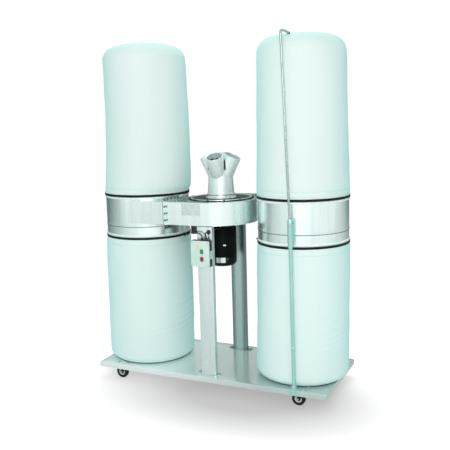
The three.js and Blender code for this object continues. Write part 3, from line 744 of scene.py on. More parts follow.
def cover():
    """The round black cover over the impeller opening."""
    low, radius = COVER_LOW.z, COVER_HIGH.x
    profile = [(68, low), *arc((radius - 1.2, low + 1.2), 1.2, -90, 0, 3),
               *arc((radius - 1.2, low + 2.0), 1.2, 0, 90, 3), (92, low + 3.2), (68, low + 3.2), (68, low)]
    piece("cover_plate", lathe(profile, 160), BLACK_PAINT, stands_for=["blower_cover"])
    # The raised bead on the cover is drawn in pale foil: a painted highlight on the black cover.
    rise = [(radius - 23, low + 3.1), *arc((radius - 20.5, low + 5), 2, 180, 90, 4),
            *arc((radius - 17, low + 5), 2, 90, 0, 4), (radius - 14.5, low + 3.1), (radius - 23, low + 3.1)]
    piece("cover_bead_painted_highlight", lathe(rise, 160), LABEL_FOIL)
    heads = [bolt(place, UP, 9, 5, 7.5) for place in circle(radius - 8, low + 3, 12)]
    piece("cover_bolts", joined(heads), DARK_BOLT)


# ---------------------------------------------------------------- inlet manifold

PORT_RADIUS, PORT_WALL, PORT_REACH, PORT_MOUTH = 49.0, 2.5, 80.0, 1352.0
PORT_LENGTH, PORT_STEP = 170.0, 0.5
PORT_TILT = math.radians(26)
PORT_AXIS = Vector((math.sin(PORT_TILT), 0, math.cos(PORT_TILT)))
PORT_SIDE = Vector((math.cos(PORT_TILT), 0, -math.sin(PORT_TILT)))
NECK_FOOT, NECK_TOP, NECK_RADIUS = COVER_HIGH.z - 5 + 0.3, 1136.0, 78.0
BODY_LIMIT = 1290.0


def body_radius(z):
    """Outer radius of the manifold's body, which narrows upwards from the neck."""
    return NECK_RADIUS - 0.07 * (z - NECK_TOP)


def body_point(angle, z, skin=0.0):
    """A point on the manifold's body, skin below its surface."""
    return polar(body_radius(z) - skin, angle, z)


def port_point(radius, angle, back):
    """A point on the +X port's wall, so far back from its mouth."""
    spoke = PORT_SIDE * math.cos(angle) + Vector((0, 1, 0)) * math.sin(angle)
    return Vector((PORT_REACH, 0, PORT_MOUTH)) - PORT_AXIS * back + spoke * radius


def port_reach(radius, angle, skin):
    """How far back the port's wall runs before it meets the body or a neighbouring port."""
    back = 0.0
    while back < PORT_LENGTH:
        p = port_point(radius, angle, back)
        if p.x < abs(p.y) or math.hypot(p.x, p.y) < body_radius(p.z) - skin:
            return back
        back += PORT_STEP
    return back


def port_wall(radius_at, skin, angles):
    """One wall of the +X port from where it leaves the body to its mouth."""
    base_radius = radius_at(100)
    reach = [port_reach(base_radius, a, skin) for a in angles]
    rows = []
    for share in [1 - i / 16 for i in range(13)]:
        rows.append([port_point(base_radius, a, max(36, r * share)) for a, r in zip(angles, reach)])
    for back in (36, 35, 34, 33, 20, 8, 2, 0.8, 0):
        rows.append([port_point(radius_at(back), a, back) for a in angles])
    return rows


def inside_port(p, skin):
    """Whether a point is inside the bore of any port."""
    for quarter in range(4):
        q = turn(-90 * quarter) @ p
        from_mouth = q - Vector((PORT_REACH, 0, PORT_MOUTH))
        along = from_mouth.dot(PORT_AXIS)
        if (from_mouth - along * PORT_AXIS).length < PORT_RADIUS - skin and q.x > 0:
            return True
    return False


def body_wall():
    """The neck's flange and the body, which ends where it meets the ports. Outside first, then inside."""
    angles = [2 * math.pi * i / 192 for i in range(192)]
    tops = []
    for angle in angles:
        z = NECK_TOP
        while z < BODY_LIMIT and not inside_port(body_point(angle, z), 0):
            z += PORT_STEP
        tops.append(z)
    low = NECK_FOOT
    flange = [(68, low), *arc((89, low + 1), 1, -90, 0, 2), *arc((89, low + 2.2), 1, 0, 90, 2),
              (82, low + 3.4), (80, low + 5), (80, NECK_TOP - 4), (NECK_RADIUS, NECK_TOP)]
    rows = [circle(r, z, 192) for r, z in flange]
    for skin, steps in ((0, range(1, 11)), (3, range(10, -1, -1))):
        for share in (i / 10 for i in steps):
            heights = [NECK_TOP + (top - NECK_TOP) * share for top in tops]
            rows.append([body_point(angle, z, skin) for angle, z in zip(angles, heights)])
    rows += [circle(75, low + 5, 192), circle(68, low, 192)]
    return net(rows, round_trip=True)


def manifold():
    """The neck and its four hose ports, with their welds, painted shade in the bores and in the valleys
    between the ports, and bolts.
    """
    angles = [2 * math.pi * i / 96 for i in range(96)]

    def outside(back):
        hem = 1.3 if back < 34.5 else 0.0
        lip = -0.6 if back < 0.5 else 0.0
        return PORT_RADIUS + hem + lip

    def inside(back):
        return PORT_RADIUS - PORT_WALL + (0.5 if back < 0.5 else 0.0)

    outer = port_wall(outside, 0, angles)
    inner = port_wall(inside, 3, angles)
    port = net([*outer, *reversed(inner)], round_trip=True)
    # A thin shell just inside each bore, drawn in the darker sheet: painted shade in the bores.
    bore_shade_outer = port_wall(lambda back: inside(back) - 0.2, 3.2, angles)
    bore_shade_inner = port_wall(lambda back: inside(back) - 0.8, 3.8, angles)
    bore_shade = net([*bore_shade_outer[:-2], *reversed(bore_shade_inner[:-2])], round_trip=True)
    bead = sweep(outer[0], 1.7, 8, loop=True)
    piece("manifold_branches", joined([body_wall(), four_ways(port)]), BRANCH_SHEET,
          stands_for=["inlet_manifold"])
    piece("manifold_port_bore_shade", four_ways(bore_shade), BORE_SHADE_SHEET)
    piece("manifold_welds", four_ways(bead), BRANCH_SHEET)
    # Painted shade: a black bead laid along each valley between two ports, where shade falls.
    outwards = Vector((3.2, 3.2, 0))
    valley = sorted((p for p in outer[0] if p.y > 0 and abs(p.x - p.y) < 0.8), key=lambda p: p.z)
    valley_shade = sweep([p + outwards for p in valley], 4.2, 12)
    piece("manifold_valley_painted_shade", four_ways(valley_shade), BLACK_PAINT)
    seam = lathe([(80, NECK_TOP - 6), *arc((80, NECK_TOP - 3.5), 2.2, -90, 90, 5), (80, NECK_TOP - 1)], 128)
    piece("manifold_neck_bead", seam, BRANCH_SHEET)
    dark_line = [(80.05, -11), (80.6, -10), (80.6, -7), (80.05, -6)]
    gap = lathe([(r, NECK_TOP + z) for r, z in dark_line], 128)
    piece("manifold_neck_shadow_line", gap, ZINC)
    heads = [bolt(place, UP, 7, 4) for place in circle(85.5, NECK_FOOT + 3.2, 6, 30)]
    piece("manifold_bolts", joined(heads), ZINC)


# ---------------------------------------------------------------- the two bag sides

SIDES = {"right": move(COLLAR_X), "left": turn(180) @ move(COLLAR_X)}


def collar(side, place):
    """The rolled collar ring with its beads and lap seam, and the duct stub that feeds it."""
    low, high = COLLAR_LOW.z, COLLAR_HIGH.z
    outer, inner = COLLAR_RADIUS, COLLAR_RADIUS - SHEET

    def bead(z):
        swell = [(outer + 1 + x, z + y) for x, y in arc((0, 0), 4, -75, 75, 8)]
        return [(outer, z - 6), (outer + 0.8, z - 5), *swell, (outer + 0.8, z + 5), (outer, z + 6)]

    seam = DUCT_BOTTOM - FLANGE_WIDTH
    profile = [(inner, low), (outer, low), (outer, seam - 1), (outer + 1.4, seam), (outer + 1.4, seam + 9),
               (outer + 0.2, seam + 10), (outer, high), (inner, high), (inner, low)]
    rolled = [lathe([*bead(z), (outer - 0.5, z), bead(z)[0]], 192)
              for z in (CLAMP_Z["lower"] + 14, CLAMP_Z["upper"] - 14)]
    # The rolled beads wear the paler sheet: painted highlight.
    piece(f"{side}_collar_rolled_beads", joined(rolled).placed(place), BEAD_HIGHLIGHT_SHEET)
    # Painted shade: a dark grey ring at the collar's seam, standing for the shade under its step.
    strip = [(1.3, -3.5), (1.8, -3), (1.8, 0.5), (1.3, 1), (-0.5, 1), (-0.5, -3.5), (1.3, -3.5)]
    seam_shade = lathe([(outer + r, seam + z) for r, z in strip], 192)
    piece(f"{side}_collar_seam_painted_shade", seam_shade.placed(place), SEAM_SHADE_PAINT)
    mouth = DUCT_END + 0.3 - COLLAR_X
    stub = slab(duct_outline(), 0, -mouth - 6, [duct_outline(-SHEET)]).placed(across_x(mouth))
    sheet = joined([lathe(profile, 192), stub, duct_flange(mouth)])
    piece(f"{side}_collar_sheet", sheet.placed(place), BRIGHT_SHEET, stands_for=[f"{side}_collar"], bevel=0.5)
    start = math.degrees(math.acos(DUCT_INNER / COLLAR_RADIUS))
    beads = []
    for z in (DUCT_BOTTOM, DUCT_TOP):
        path = [(x, y, z) for x, y in arc((0, 0), COLLAR_RADIUS + 0.6, 90 + start, 96, 24)]
        beads.append(sweep(path, 1.6, 8))
    corner = arc((0, 0), COLLAR_RADIUS + 0.6, 90 + start, 90 + start, 1)[0]
    beads.append(sweep([(*corner, DUCT_BOTTOM), (*corner, DUCT_TOP)], 1.6, 8))
    piece(f"{side}_collar_welds", joined(beads).placed(place), BRIGHT_SHEET)
    lap = block((outer - 1, -7, low + 30), (outer + 1.6, 7, high - 32), 0.5).placed(turn(200))
    piece(f"{side}_collar_lap_seam", lap.placed(place), BRIGHT_SHEET, bevel=0.5)


# Outline and lean of each bag as it hangs: (height, radius, lean to the right of the main view).
BAGS = {
    "right_filter_bag": [
        (1122, 257.3, 0), (1146, 257.6, 0), (1175, 257.8, 0), (1400, 252, -1), (1590, 248, -2),
        (1800, 244.5, -2), (1905, 242, -1.5), (1932, 237, -1.5), (1950, 229, -1.5), (1966, 216, -1),
        (1978, 201, -1), (1987, 181, -1), (1996, 150, -1), (2001, 110, 0), (2005, 55, 0), (2006, 0, 0)],
    "left_filter_bag": [
        (1122, 257.3, 0), (1146, 257.6, 1), (1185, 261.5, 9), (1330, 258, 15), (1550, 252.5, 19),
        (1800, 248.5, 17), (1925, 246.5, 13.5), (1950, 241.5, 13), (1968, 232, 13), (1982, 218, 12),
        (1992, 203, 12), (2001, 180, 11), (2009, 150, 11), (2015, 110, 10), (2019, 55, 10), (2020, 0, 10)],
    "right_collection_bag": [
        (887, 257.3, 0), (863, 257.6, 0), (835, 259.5, -1), (700, 261, -3), (533, 261.5, -4.5),
        (300, 263, -7), (160, 264, -10), (128, 259, -9), (112, 245, -6), (105, 225, -4), (103.6, 205, -3),
        (103.5, 100, 0), (103.5, 0, 0)],
    "left_collection_bag": [
        (887, 257.3, 0), (863, 257.6, 0), (835, 260.5, -1), (700, 264.5, -2), (440, 266.5, -2.5),
        (250, 266, -5), (150, 264.5, -7), (124, 257, -6), (110, 243, -4), (104.5, 224, -3), (103.6, 205, -3),
        (103.5, 100, 0), (103.5, 0, 0)],
}
BAG_COLUMNS = 192
HEM_REACH = 26  # from the middle of the clamp to the hem
CONTACT_SHADE_HEIGHT = 106.5
# Creases across a collection bag: (height, half width as an angle, depth).
CREASES = ((485, 0.5, 2.6), (440, 0.55, 3.0), (396, 0.4, 2.4), (365, 0.45, 2.6), (333, 0.9, 3.2),
           (308, 0.4, 2.2))


def fold(angle, height, centre, level, width, thick, slope=0.0):
    """Depth of one crease across a bag. centre and width are angles, level and thick are heights."""
    off = (angle - centre + math.pi) % (2 * math.pi) - math.pi
    across = math.exp(-(off / width) ** 4)
    up = (height - level - slope * off) / thick
    return across * math.exp(-up * up) * -up * 1.6


def close_rows(points, gap):
    """The same outline with more points, so that none is further than gap below or above the last one."""
    filled = [points[0]]
    for a, b in zip(points, points[1:]):
        parts = max(1, math.ceil(abs(b[1] - a[1]) / gap))
        filled += [a.lerp(b, i / parts) for i in range(1, parts + 1)]
    return filled


def bag_surface(name, centre, side_seed):
    """The bag's net of points: its outline, its lean, gathers at the clamp, creases and soft bulges."""
    outline = BAGS[name]
    upwards = outline[-1][0] > outline[0][0]
    dense = close_rows(smooth_path([(r, z, lean) for z, r, lean in outline], 9), 5)
    clamp = outline[1][0]
    facing, depth_scale = (math.radians(2), 1.0) if centre.x < 0 else (math.radians(-20), 0.5)
    gather_reach, crown_radius, flat_radius = 45, 215, 90
    rows = []
    for radius, z, lean in dense:
        row = []
        for i in range(BAG_COLUMNS):
            angle = 2 * math.pi * i / BAG_COLUMNS
            out = Vector((math.cos(angle), math.sin(angle), 0))
            away = abs(z - clamp)
            gather = math.exp(-away / gather_reach) * min(1, away / 12)
            spot = out * 2.2 + Vector((side_seed, 0, z / 130))
            ripple = noise.noise(Vector((math.cos(angle) * 9, math.sin(angle) * 9, side_seed + z / 400)))
            swell = noise.noise(spot)
            crown = max(0.0, 1 - radius / crown_radius)
            push = 2.2 * gather * ripple + 2.0 * swell * (1 - gather) * (1 - crown)
            if not upwards:
                for level, width, deep in CREASES:
                    push += depth_scale * deep * fold(angle, z, facing, level, width, 9, 30)
            flat = push if radius > flat_radius else push * radius / flat_radius
            point = centre + out * max(0.0, radius + flat) + VIEW_RIGHT * lean
            point.z = z + (1.5 * swell * crown if upwards else 0)
            row.append(point)
        rows.append(row)
    return rows


def seam_along(rows, column, first, last, radius, lift):
    """A raised seam that follows one column of a bag's net."""
    path = []
    for row in rows[first:last]:
        middle = sum(row, Vector()) / len(row)
        out = Vector((row[column].x - middle.x, row[column].y - middle.y, 0)).normalized()
        path.append(row[column] + out * lift)
    return sweep(path, radius, 8)


def ring_seam(row, radius, lift):
    """A raised seam along one ring of a bag's net."""
    middle = sum(row, Vector()) / len(row)
    path = [p + (p - middle).normalized() * lift for p in row]
    return sweep(path, radius, 8, loop=True)


def stitches(row, lift, every=3):
    """A row of short stitches laid on a ring of a bag's net."""
    middle = sum(row, Vector()) / len(row)
    count = len(row)
    made = []
    for i in range(0, count, every):
        a, b = row[i], row[(i + 1) % count]
        off = (a - middle).normalized() * lift
        path = [a + off * 0.2, a * 0.75 + b * 0.25 + off, a * 0.25 + b * 0.75 + off, b + off * 0.2]
        made.append(sweep(path, 0.7, 6))
    return joined(made)


def bag(name, look, seed):
    """One cloth bag with its hem, side seam and stitches, and a dark ring of painted contact shadow at a
    collection bag's foot.
    """
    centre = Vector((COLLAR_X if name.startswith("right") else -COLLAR_X, 0, 0))
    rows = bag_surface(name, centre, seed)
    skin = net(rows, round_trip=True)
    thing = piece(name + "_cloth", skin, look, stands_for=[name], crease=80)
    thick = thing.modifiers.new("cloth", "SOLIDIFY")
    thick.thickness = 1.6 * MM
    thick.offset = -1
    clamp_height = BAGS[name][1][0]
    hem = next(i for i, row in enumerate(rows) if abs(row[0].z - clamp_height) > HEM_REACH)
    seam_end = len(rows) - (30 if "filter" in name else 40)
    column = 110 if name.startswith("right") else 20
    seams = [ring_seam(rows[hem], 1.0, 0.3), seam_along(rows, column, 6, seam_end, 1.5, 0.2)]
    piece(name + "_seams", joined(seams), HEM_CLOTH)
    piece(name + "_stitches", stitches(rows[hem - 1], 0.9), HEM_CLOTH)
    if "collection" in name:
        # Painted contact shadow: a dark ring round the foot of the bag where it stands on the base.
        foot = min(range(len(rows)), key=lambda i: abs(rows[i][0].z - CONTACT_SHADE_HEIGHT))
        piece(name + "_foot_contact_shade", ring_seam(rows[foot], 2.2, 0.6), CONTACT_SHADE_CLOTH)


def clamp(side, level, place):
    """The strap, its lugs and pin, and the lever with the hook that it pulls."""
    here = place @ move(0, 0, CLAMP_Z[level]) @ turn(180)
    inner, outer, half = CUFF_RADIUS + 0.5, CUFF_RADIUS + 2.6, 7.0
    section = [(inner, -half), *arc((outer - 0.8, -half + 0.8), 0.8, -90, 0, 3),
               *arc((outer - 0.8, half - 0.8), 0.8, 0, 90, 3), (inner, half), (inner, -half)]
    start, end = math.asin(4 / inner), 2 * math.pi - math.asin(8 / inner)
    rows = []
    for i in range(181):
        angle = start + (end - start) * i / 180
        rows.append([polar(r, angle, z) for r, z in section[:-1]])
    strap = net(rows, round_trip=True)
    for row in (0, 180):
        strap.faces.append([row * len(rows[0]) + i for i in range(len(rows[0]))])
    pivot = (266, -20)
    lug = block((256.5, -25, -7), (262, -13, 7), 1)
    ears = [block((256.5, -25, z), (270, -13, z + 3), 1.5) for z in (-7, 4)]
    pin = drum(1.8, -7.6, 7.6, 0.5, 16).placed(move(*pivot))
    hook_lug = block((257, 8, -7), (261.5, 16, 7), 1.2)
    piece(f"{side}_{level}_clamp_strap", joined([strap, lug, *ears, pin, hook_lug]).placed(here), BLACK_PAINT,
          stands_for=[f"{side}_{level}_clamp_band"], bevel=0.4)
    barrel = drum(3.6, -3.6, 3.6, 0.6, 24).placed(move(*pivot))
    arm = [(264, -20), (264, 18), (265, 30), (268, 37), (272, 38), (272, 36), (269, 34), (267.5, 29),
           (267.5, -20)]
    grip = block((264.2, 8, -8), (268.4, 29, 8), 1.4)
    lever = slab(arm, -3.6, 3.6).join(grip)
    bend = [(266, -6, 0), (264.5, 2, 0), (263.6, 10, 0), (263.4, 18, 0), (261.8, 19.5, 0)]
    hook = sweep(smooth_path(bend, 5), 1.3, 10)
    piece(f"{side}_{level}_clamp_handle", joined([barrel, lever, hook]).placed(here), BLACK_PAINT,
          body=f"{side}_{level}_lever", stands_for=[f"{side}_{level}_clamp_lever"], bevel=0.5)


POLE_Y = -281
POLE_FOOT, POLE_JOINT, POLE_BEND = (33, POLE_Y, 107), (21.5, POLE_Y, 960), (-17, POLE_Y, 1975)


def on_line(start, end, z):
    """The point of a line at a height."""
    part = (z - start[2]) / (end[2] - start[2])
    return Vector(start).lerp(Vector(end), part)


def pole(side, place):
    """The hanger pole: foot bracket, tube, collar bracket and hooked rod."""
    lower = on_line(POLE_FOOT, POLE_JOINT, 108), on_line(POLE_FOOT, POLE_JOINT, 958)
    along = lower[1] - lower[0]
    shaft = sweep([lower[0], lower[1]], 10, 32)
    weld_line = sweep([lower[0] + Vector((0, 9.6, 0)), lower[1] + Vector((0, 9.6, 0))], 0.7, 6)
    piece(f"{side}_pole_lower_tube", joined([shaft, weld_line]).placed(place), POLE_PAINT,
          stands_for=[f"{side}_pole_tube"], bevel=0.8)
    straight = [on_line(POLE_JOINT, POLE_BEND, z) for z in (962, 1200, 1450, 1700, 1940)]
    hook = [(-17.5, -279, 1990), (-17.5, -268, 1999), (-17, -245, 2001), (-14, -205, 1998), (-12, -176, 1994)]
    rod = sweep(smooth_path([*straight, *hook], 8), 6, 24)
    tip = drum(7.2, -2, 10, 2, 24).placed(at((-12, -176, 1994), (0.07, 1, -0.14)) @ move(0, 0, -4))
    piece(f"{side}_pole_upper_rod", rod.placed(place), ROD_PAINT, stands_for=[f"{side}_pole_rod"])
    piece(f"{side}_pole_rod_cap", tip.placed(place), BLACK_PLASTIC)
    profile = [(10.6, 0), (14, 0), (14, 60), (13.2, 61), (13.2, 63), (14, 64), (14, 112), (13.2, 113),
               (13.2, 115), (14, 116), (14, 150), (12, 155), (6.8, 156), (6.8, 100), (10.6, 90), (10.6, 0)]
    sleeve = lathe(profile, 40).placed(at(on_line(POLE_FOOT, POLE_JOINT, 884), along))
    pad = block((2, POLE_Y + 8, 906), (40, -COLLAR_RADIUS - 0.3, 1030), 2)
    piece(f"{side}_pole_coupler", joined([sleeve, pad]).placed(place), POLE_PAINT,
          stands_for=[f"{side}_pole_bracket"], bevel=0.6)
    screws = [bolt((21, POLE_Y - 13, z), (0, -1, 0), 8, 4.5, 6) for z in (925, 1010)]
    thumb = [bolt((35, POLE_Y, z), (1, 0, 0), 9, 5, 6.5) for z in (925, 962, 1010)]
    piece(f"{side}_pole_coupler_screws", joined(screws + thumb).placed(place), ZINC)
    edge = -BASE_HIGH.y - 0.3
    top = BASE_TOP + 0.3
    outer = [(edge - 3, BASE_TOP - 26), *arc((edge + 1, top - 1), 4, 180, 90, 5), (POLE_Y + 15, top + 3),
             (POLE_Y + 15, top), (edge + 1.5, top), (edge, top - 1.5), (edge, BASE_TOP - 26)]
    fold_up = slab(outer, 0, 56).placed(across_x(5))
    socket = tube(10.6, 14, top + 2, top + 24, 0.8, 40).placed(move(POLE_FOOT[0] + 0.1, POLE_Y, 0))
    piece(f"{side}_pole_foot_bracket", joined([fold_up, socket]).placed(place), POLE_PAINT,
          stands_for=[f"{side}_pole_foot"], bevel=0.5)
    bolts = [bolt((x, edge - 3, BASE_TOP - 13), (0, -1, 0), 9, 4.2, 6.5) for x in (17, 49)]
    piece(f"{side}_pole_foot_bolts", joined(bolts).placed(place), ZINC)


# ---------------------------------------------------------------- motor

TERMINAL_TURN = 205


def on_motor(radius, angle, z, width, height, lift):
    """A thin plate bent round the motor, centred at an angle in degrees."""
    turns = [math.radians(angle) + width / radius * (i / 16 - 0.5) for i in range(17)]
    low, high = z - height / 2, z + height / 2
    edges = [(radius, low), (radius, high), (radius + lift, high), (radius + lift, low)]
    rows = [[polar(r, a, level) for a in turns] for r, level in edges]
    return net([*rows, rows[0]])


def motor():
    """The finned frame, its end bells, plates and bolts, with the fan cover and the terminal box."""
    body, tip, fins, samples = 72.0, 83.5, 40, 14

    def fin_radius(angle):
        wave = math.cos(angle * fins)
        return body + (tip - body) * (1 / (1 + math.exp(-9 * (wave - 0.35))))

    angles = [2 * math.pi * i / (fins * samples) for i in range(fins * samples)]
    low, high = 758.0, 958.0

    def ring_of(z, inset):
        return [polar(fin_radius(a) - inset, a, z) for a in angles]

    inside_low, inside_high = (circle(66, z, len(angles)) for z in (low, high))
    edges = [(low, 4), (low + 3, 0.6), (low + 6, 0), (high - 6, 0), (high - 3, 0.6), (high, 4)]
    rings = [ring_of(z, inset) for z, inset in edges]
    shell = net([inside_low, *rings, inside_high, inside_low], round_trip=True)
    pad = block((body - 2, -36, 902), (88, 36, 955), 3).placed(turn(TERMINAL_TURN))
    boss = drum(8, 0, 28, 1.2, 28).placed(at((30, -66, 940), (0, -1, 0)))
    nut = bolt((30, -86, 940), (0, -1, 0), 15, 7)
    piece("motor_finned_frame", joined([shell, pad, boss, nut]), MOTOR_PAINT,
          stands_for=["motor_frame"], bevel=0.5)
    boxes = [extent("upper_end_bell"), extent("lower_end_bell")]
    bells = [tube(15, b_high.x, b_low.z, b_high.z, 2.0, 96) for b_low, b_high in boxes]
    piece("motor_end_bells", joined(bells), MOTOR_PAINT, stands_for=["upper_end_bell", "lower_end_bell"])
    flange_face = boxes[0][0].z
    heads = [bolt(place, (0, 0, -1), 8, 6, 6.5) for place in circle(88, flange_face, 4, 45)]
    piece("motor_bell_bolts", joined(heads), ZINC)
    fan_cover()
    plate_height = 745
    piece("motor_name_plate", on_motor(84.0, -75, plate_height, 76, 37, 0.6), BLACK_PLASTIC)
    panels = [on_motor(84.7, angle, plate_height, width, 30, 0.4) for angle, width in ((-84, 22), (-65, 30))]
    piece("motor_name_plate_panels", joined(panels), LABEL_FOIL)
    oval = slab([(9 * x, 5 * y) for x, y in ring(1, 40)], 0, 1)
    on_fins = turn(-57) @ at((84, 0, 834), (1, 0, 0)) @ turn(90)
    piece("motor_oval_plate", oval.placed(on_fins), LABEL_FOIL, bevel=0.2)
    terminal_box()


def fan_cover():
    """The pressed cover over the cooling fan, with rings of air holes in its floor."""
    low, high, radius = FAN_LOW.z, FAN_HIGH.z, 83.0
    profile = [(66, low), *arc((66, low + 7), 7, -90, -42, 5), *arc((76, low + 18), 7, -42, 0, 4),
               (radius, low + 40), (radius + 0.6, high - 12), (radius + 0.6, high), (80.5, high),
               (80.5, low + 19), (72, low + 6), (65, low + 2.5)]
    shell = lathe(profile, 96)
    holes = []
    for reach, count, size, start in ((54, 16, 5.5, 0), (38, 12, 5.0, 8), (22, 7, 4.6, 3)):
        for i in range(count):
            angle = 2 * math.pi * i / count + math.radians(start)
            holes.append(ring(size, 16, (reach * math.cos(angle), reach * math.sin(angle))))
    floor = slab(ring(66, 96), low, low + 2.5, holes)
    piece("motor_fan_cover", joined([shell, floor]), MOTOR_PAINT, stands_for=["fan_cover"])
    screws = [screw(out * 83.2 + Vector((0, 0, high - 7)), out, 3.2) for out in circle(1, 0, 4, 45)]
    piece("fan_cover_screws", joined(screws), ZINC)


def terminal_box():
    """The terminal box with its lid and the gland of the motor lead, pointing away from the motor."""
    here = turn(TERMINAL_TURN)
    inner, outer, half, low, high = 88.3, 174, 46, 900, 958
    box = block((inner, -half, low), (outer, half, high), 5)
    gland = drum(8, 0, 5, 0.6, 28).placed(at((130, half, 926), (0, 1, 0)))
    neck = drum(7, 0, 12.3, 1.0, 28).placed(at((130, half, 926), (0, 1, 0)))
    piece("terminal_box_shell", joined([box, gland, neck]).placed(here), BLACK_PLASTIC,
          stands_for=["terminal_box"], bevel=1.5)
    nut = bolt((130, half + 4, 926), (0, 1, 0), 15, 5)
    piece("terminal_gland_nut", nut.placed(here), BLACK_PLASTIC)
    lid = block((outer + 0.4, -half, low), (outer + 8, half, high), 1.5)
    piece("terminal_box_lid", lid.placed(here), BLACK_PLASTIC, stands_for=["terminal_lid"], bevel=2.5)
    corners = [screw((outer + 8, y, z), (1, 0, 0), 3.4) for y in (-38, 38) for z in (908, 950)]
    piece("terminal_lid_screws", joined(corners).placed(here), ZINC)


# ---------------------------------------------------------------- switch and leads

def around_node(node, grow, radius):
    """A rounded rectangle in (x, z) round a CAD node, grown on all sides."""
    low, high = extent(node)
    return rectangle((low.x - grow, low.z - grow), (high.x + grow, high.z + grow), radius)


def switch():
    """The switch box on the front pillar: case, lid, buttons, glands and a plain yellow triangle."""
    low, high = extent("switch_box")
    top = LID_HIGH.z
    case = block((low.x, low.y + 1, LID_LOW.z), (high.x, high.y, top), 4)
    strip = block((high.x - 1, low.y + 6, 792), (high.x + 1.2, high.y - 5, 839), 1)
    piece("switch_case", case, BLACK_PLASTIC, stands_for=["switch_box"], bevel=2)
    piece("switch_case_side_plate", strip, PALE_PLASTIC, bevel=0.5)
    face = LID_LOW.y
    buttons = {"start_button": GREEN_PLASTIC, "stop_button": RED_PLASTIC}
    clearance = 0.8
    windows = [around_node(name, clearance, 2) for name in buttons]
    lay = across_y(face)
    lid = slab(around_node("switch_lid", 0, 7), 0, 8, windows)
    piece("switch_front_lid", lid.placed(lay), PALE_PLASTIC, stands_for=["switch_lid"], bevel=2)
    for (name, look), window in zip(buttons.items(), windows):
        cap = slab(around_node(name, 0, 3), 0, 9).placed(across_y(extent(name)[0].y))
        piece(name + "_cap", cap, look, body=name, stands_for=[name], bevel=1.4)
        rim = slab(around_node(name, 4, 4), -1.6, 1, [window]).placed(lay)
        piece(name + "_surround", rim, PALE_PLASTIC, bevel=0.6)
    triangle = rounded([(-28, 853), (-4, 853), (-16, 880)], 2.5)
    piece("switch_yellow_triangle", slab(triangle, -0.5, 0.3).placed(lay), YELLOW_FILM, bevel=0.15)
    screws = [screw((x, face, z), (0, -1, 0), 3.2)
              for x in (LID_LOW.x + 9, LID_HIGH.x - 9) for z in (LID_LOW.z + 9, LID_HIGH.z - 9)]
    piece("switch_lid_screws", joined(screws), ZINC)
    glands = []
    for x in (0, 28):
        glands.append(drum(7, 0, high.z - top, 1, 28).placed(move(x, -268, top)))
        glands.append(bolt((x, -268, top + 1), UP, 16, 5.5))
    piece("switch_glands", joined(glands), BLACK_PLASTIC)


def leads():
    """The leads from the terminal box to the switch, and from the switch through the pillar to the motor."""
    motor_lead = [(-91.6, -107.5, 926), (-84, -124, 926), (-70, -160, 928), (-58, -205, 934),
                  (-53, -240, 939), (-46, -262, 940), (-26, -270, 938), (-8, -270, 931), (0, -268, 920),
                  (0, -268, 910)]
    control_lead = [(28, -268, 910), (28, -268, 918), (23, -270, 929), (24, -269, 938), (32, -262, 941),
                    (34, -250, 941), (34, -236, 941), (33, -200, 942), (31, -150, 941), (30, -110, 940),
                    (30, -92, 940)]
    for name, route in (("motor_lead", motor_lead), ("control_lead", control_lead)):
        piece(name + "_cable", sweep(smooth_path(route, 8), 3.6, 16), BLACK_PLASTIC, stands_for=[name])
    low, high = extent("cable_grommet")
    middle = (low + high) / 2
    grommet = lathe([(4.2, 0), (12, 0), (13, 1.2), (12, 3.4), (9.5, 4), (9.5, 7.3), (4.2, 7.3), (4.2, 0)], 40)
    piece("pillar_grommet", grommet.placed(at((middle.x, low.y, middle.z), (0, 1, 0))), BLACK_PLASTIC,
          stands_for=["cable_grommet"])


# ---------------------------------------------------------------- casters

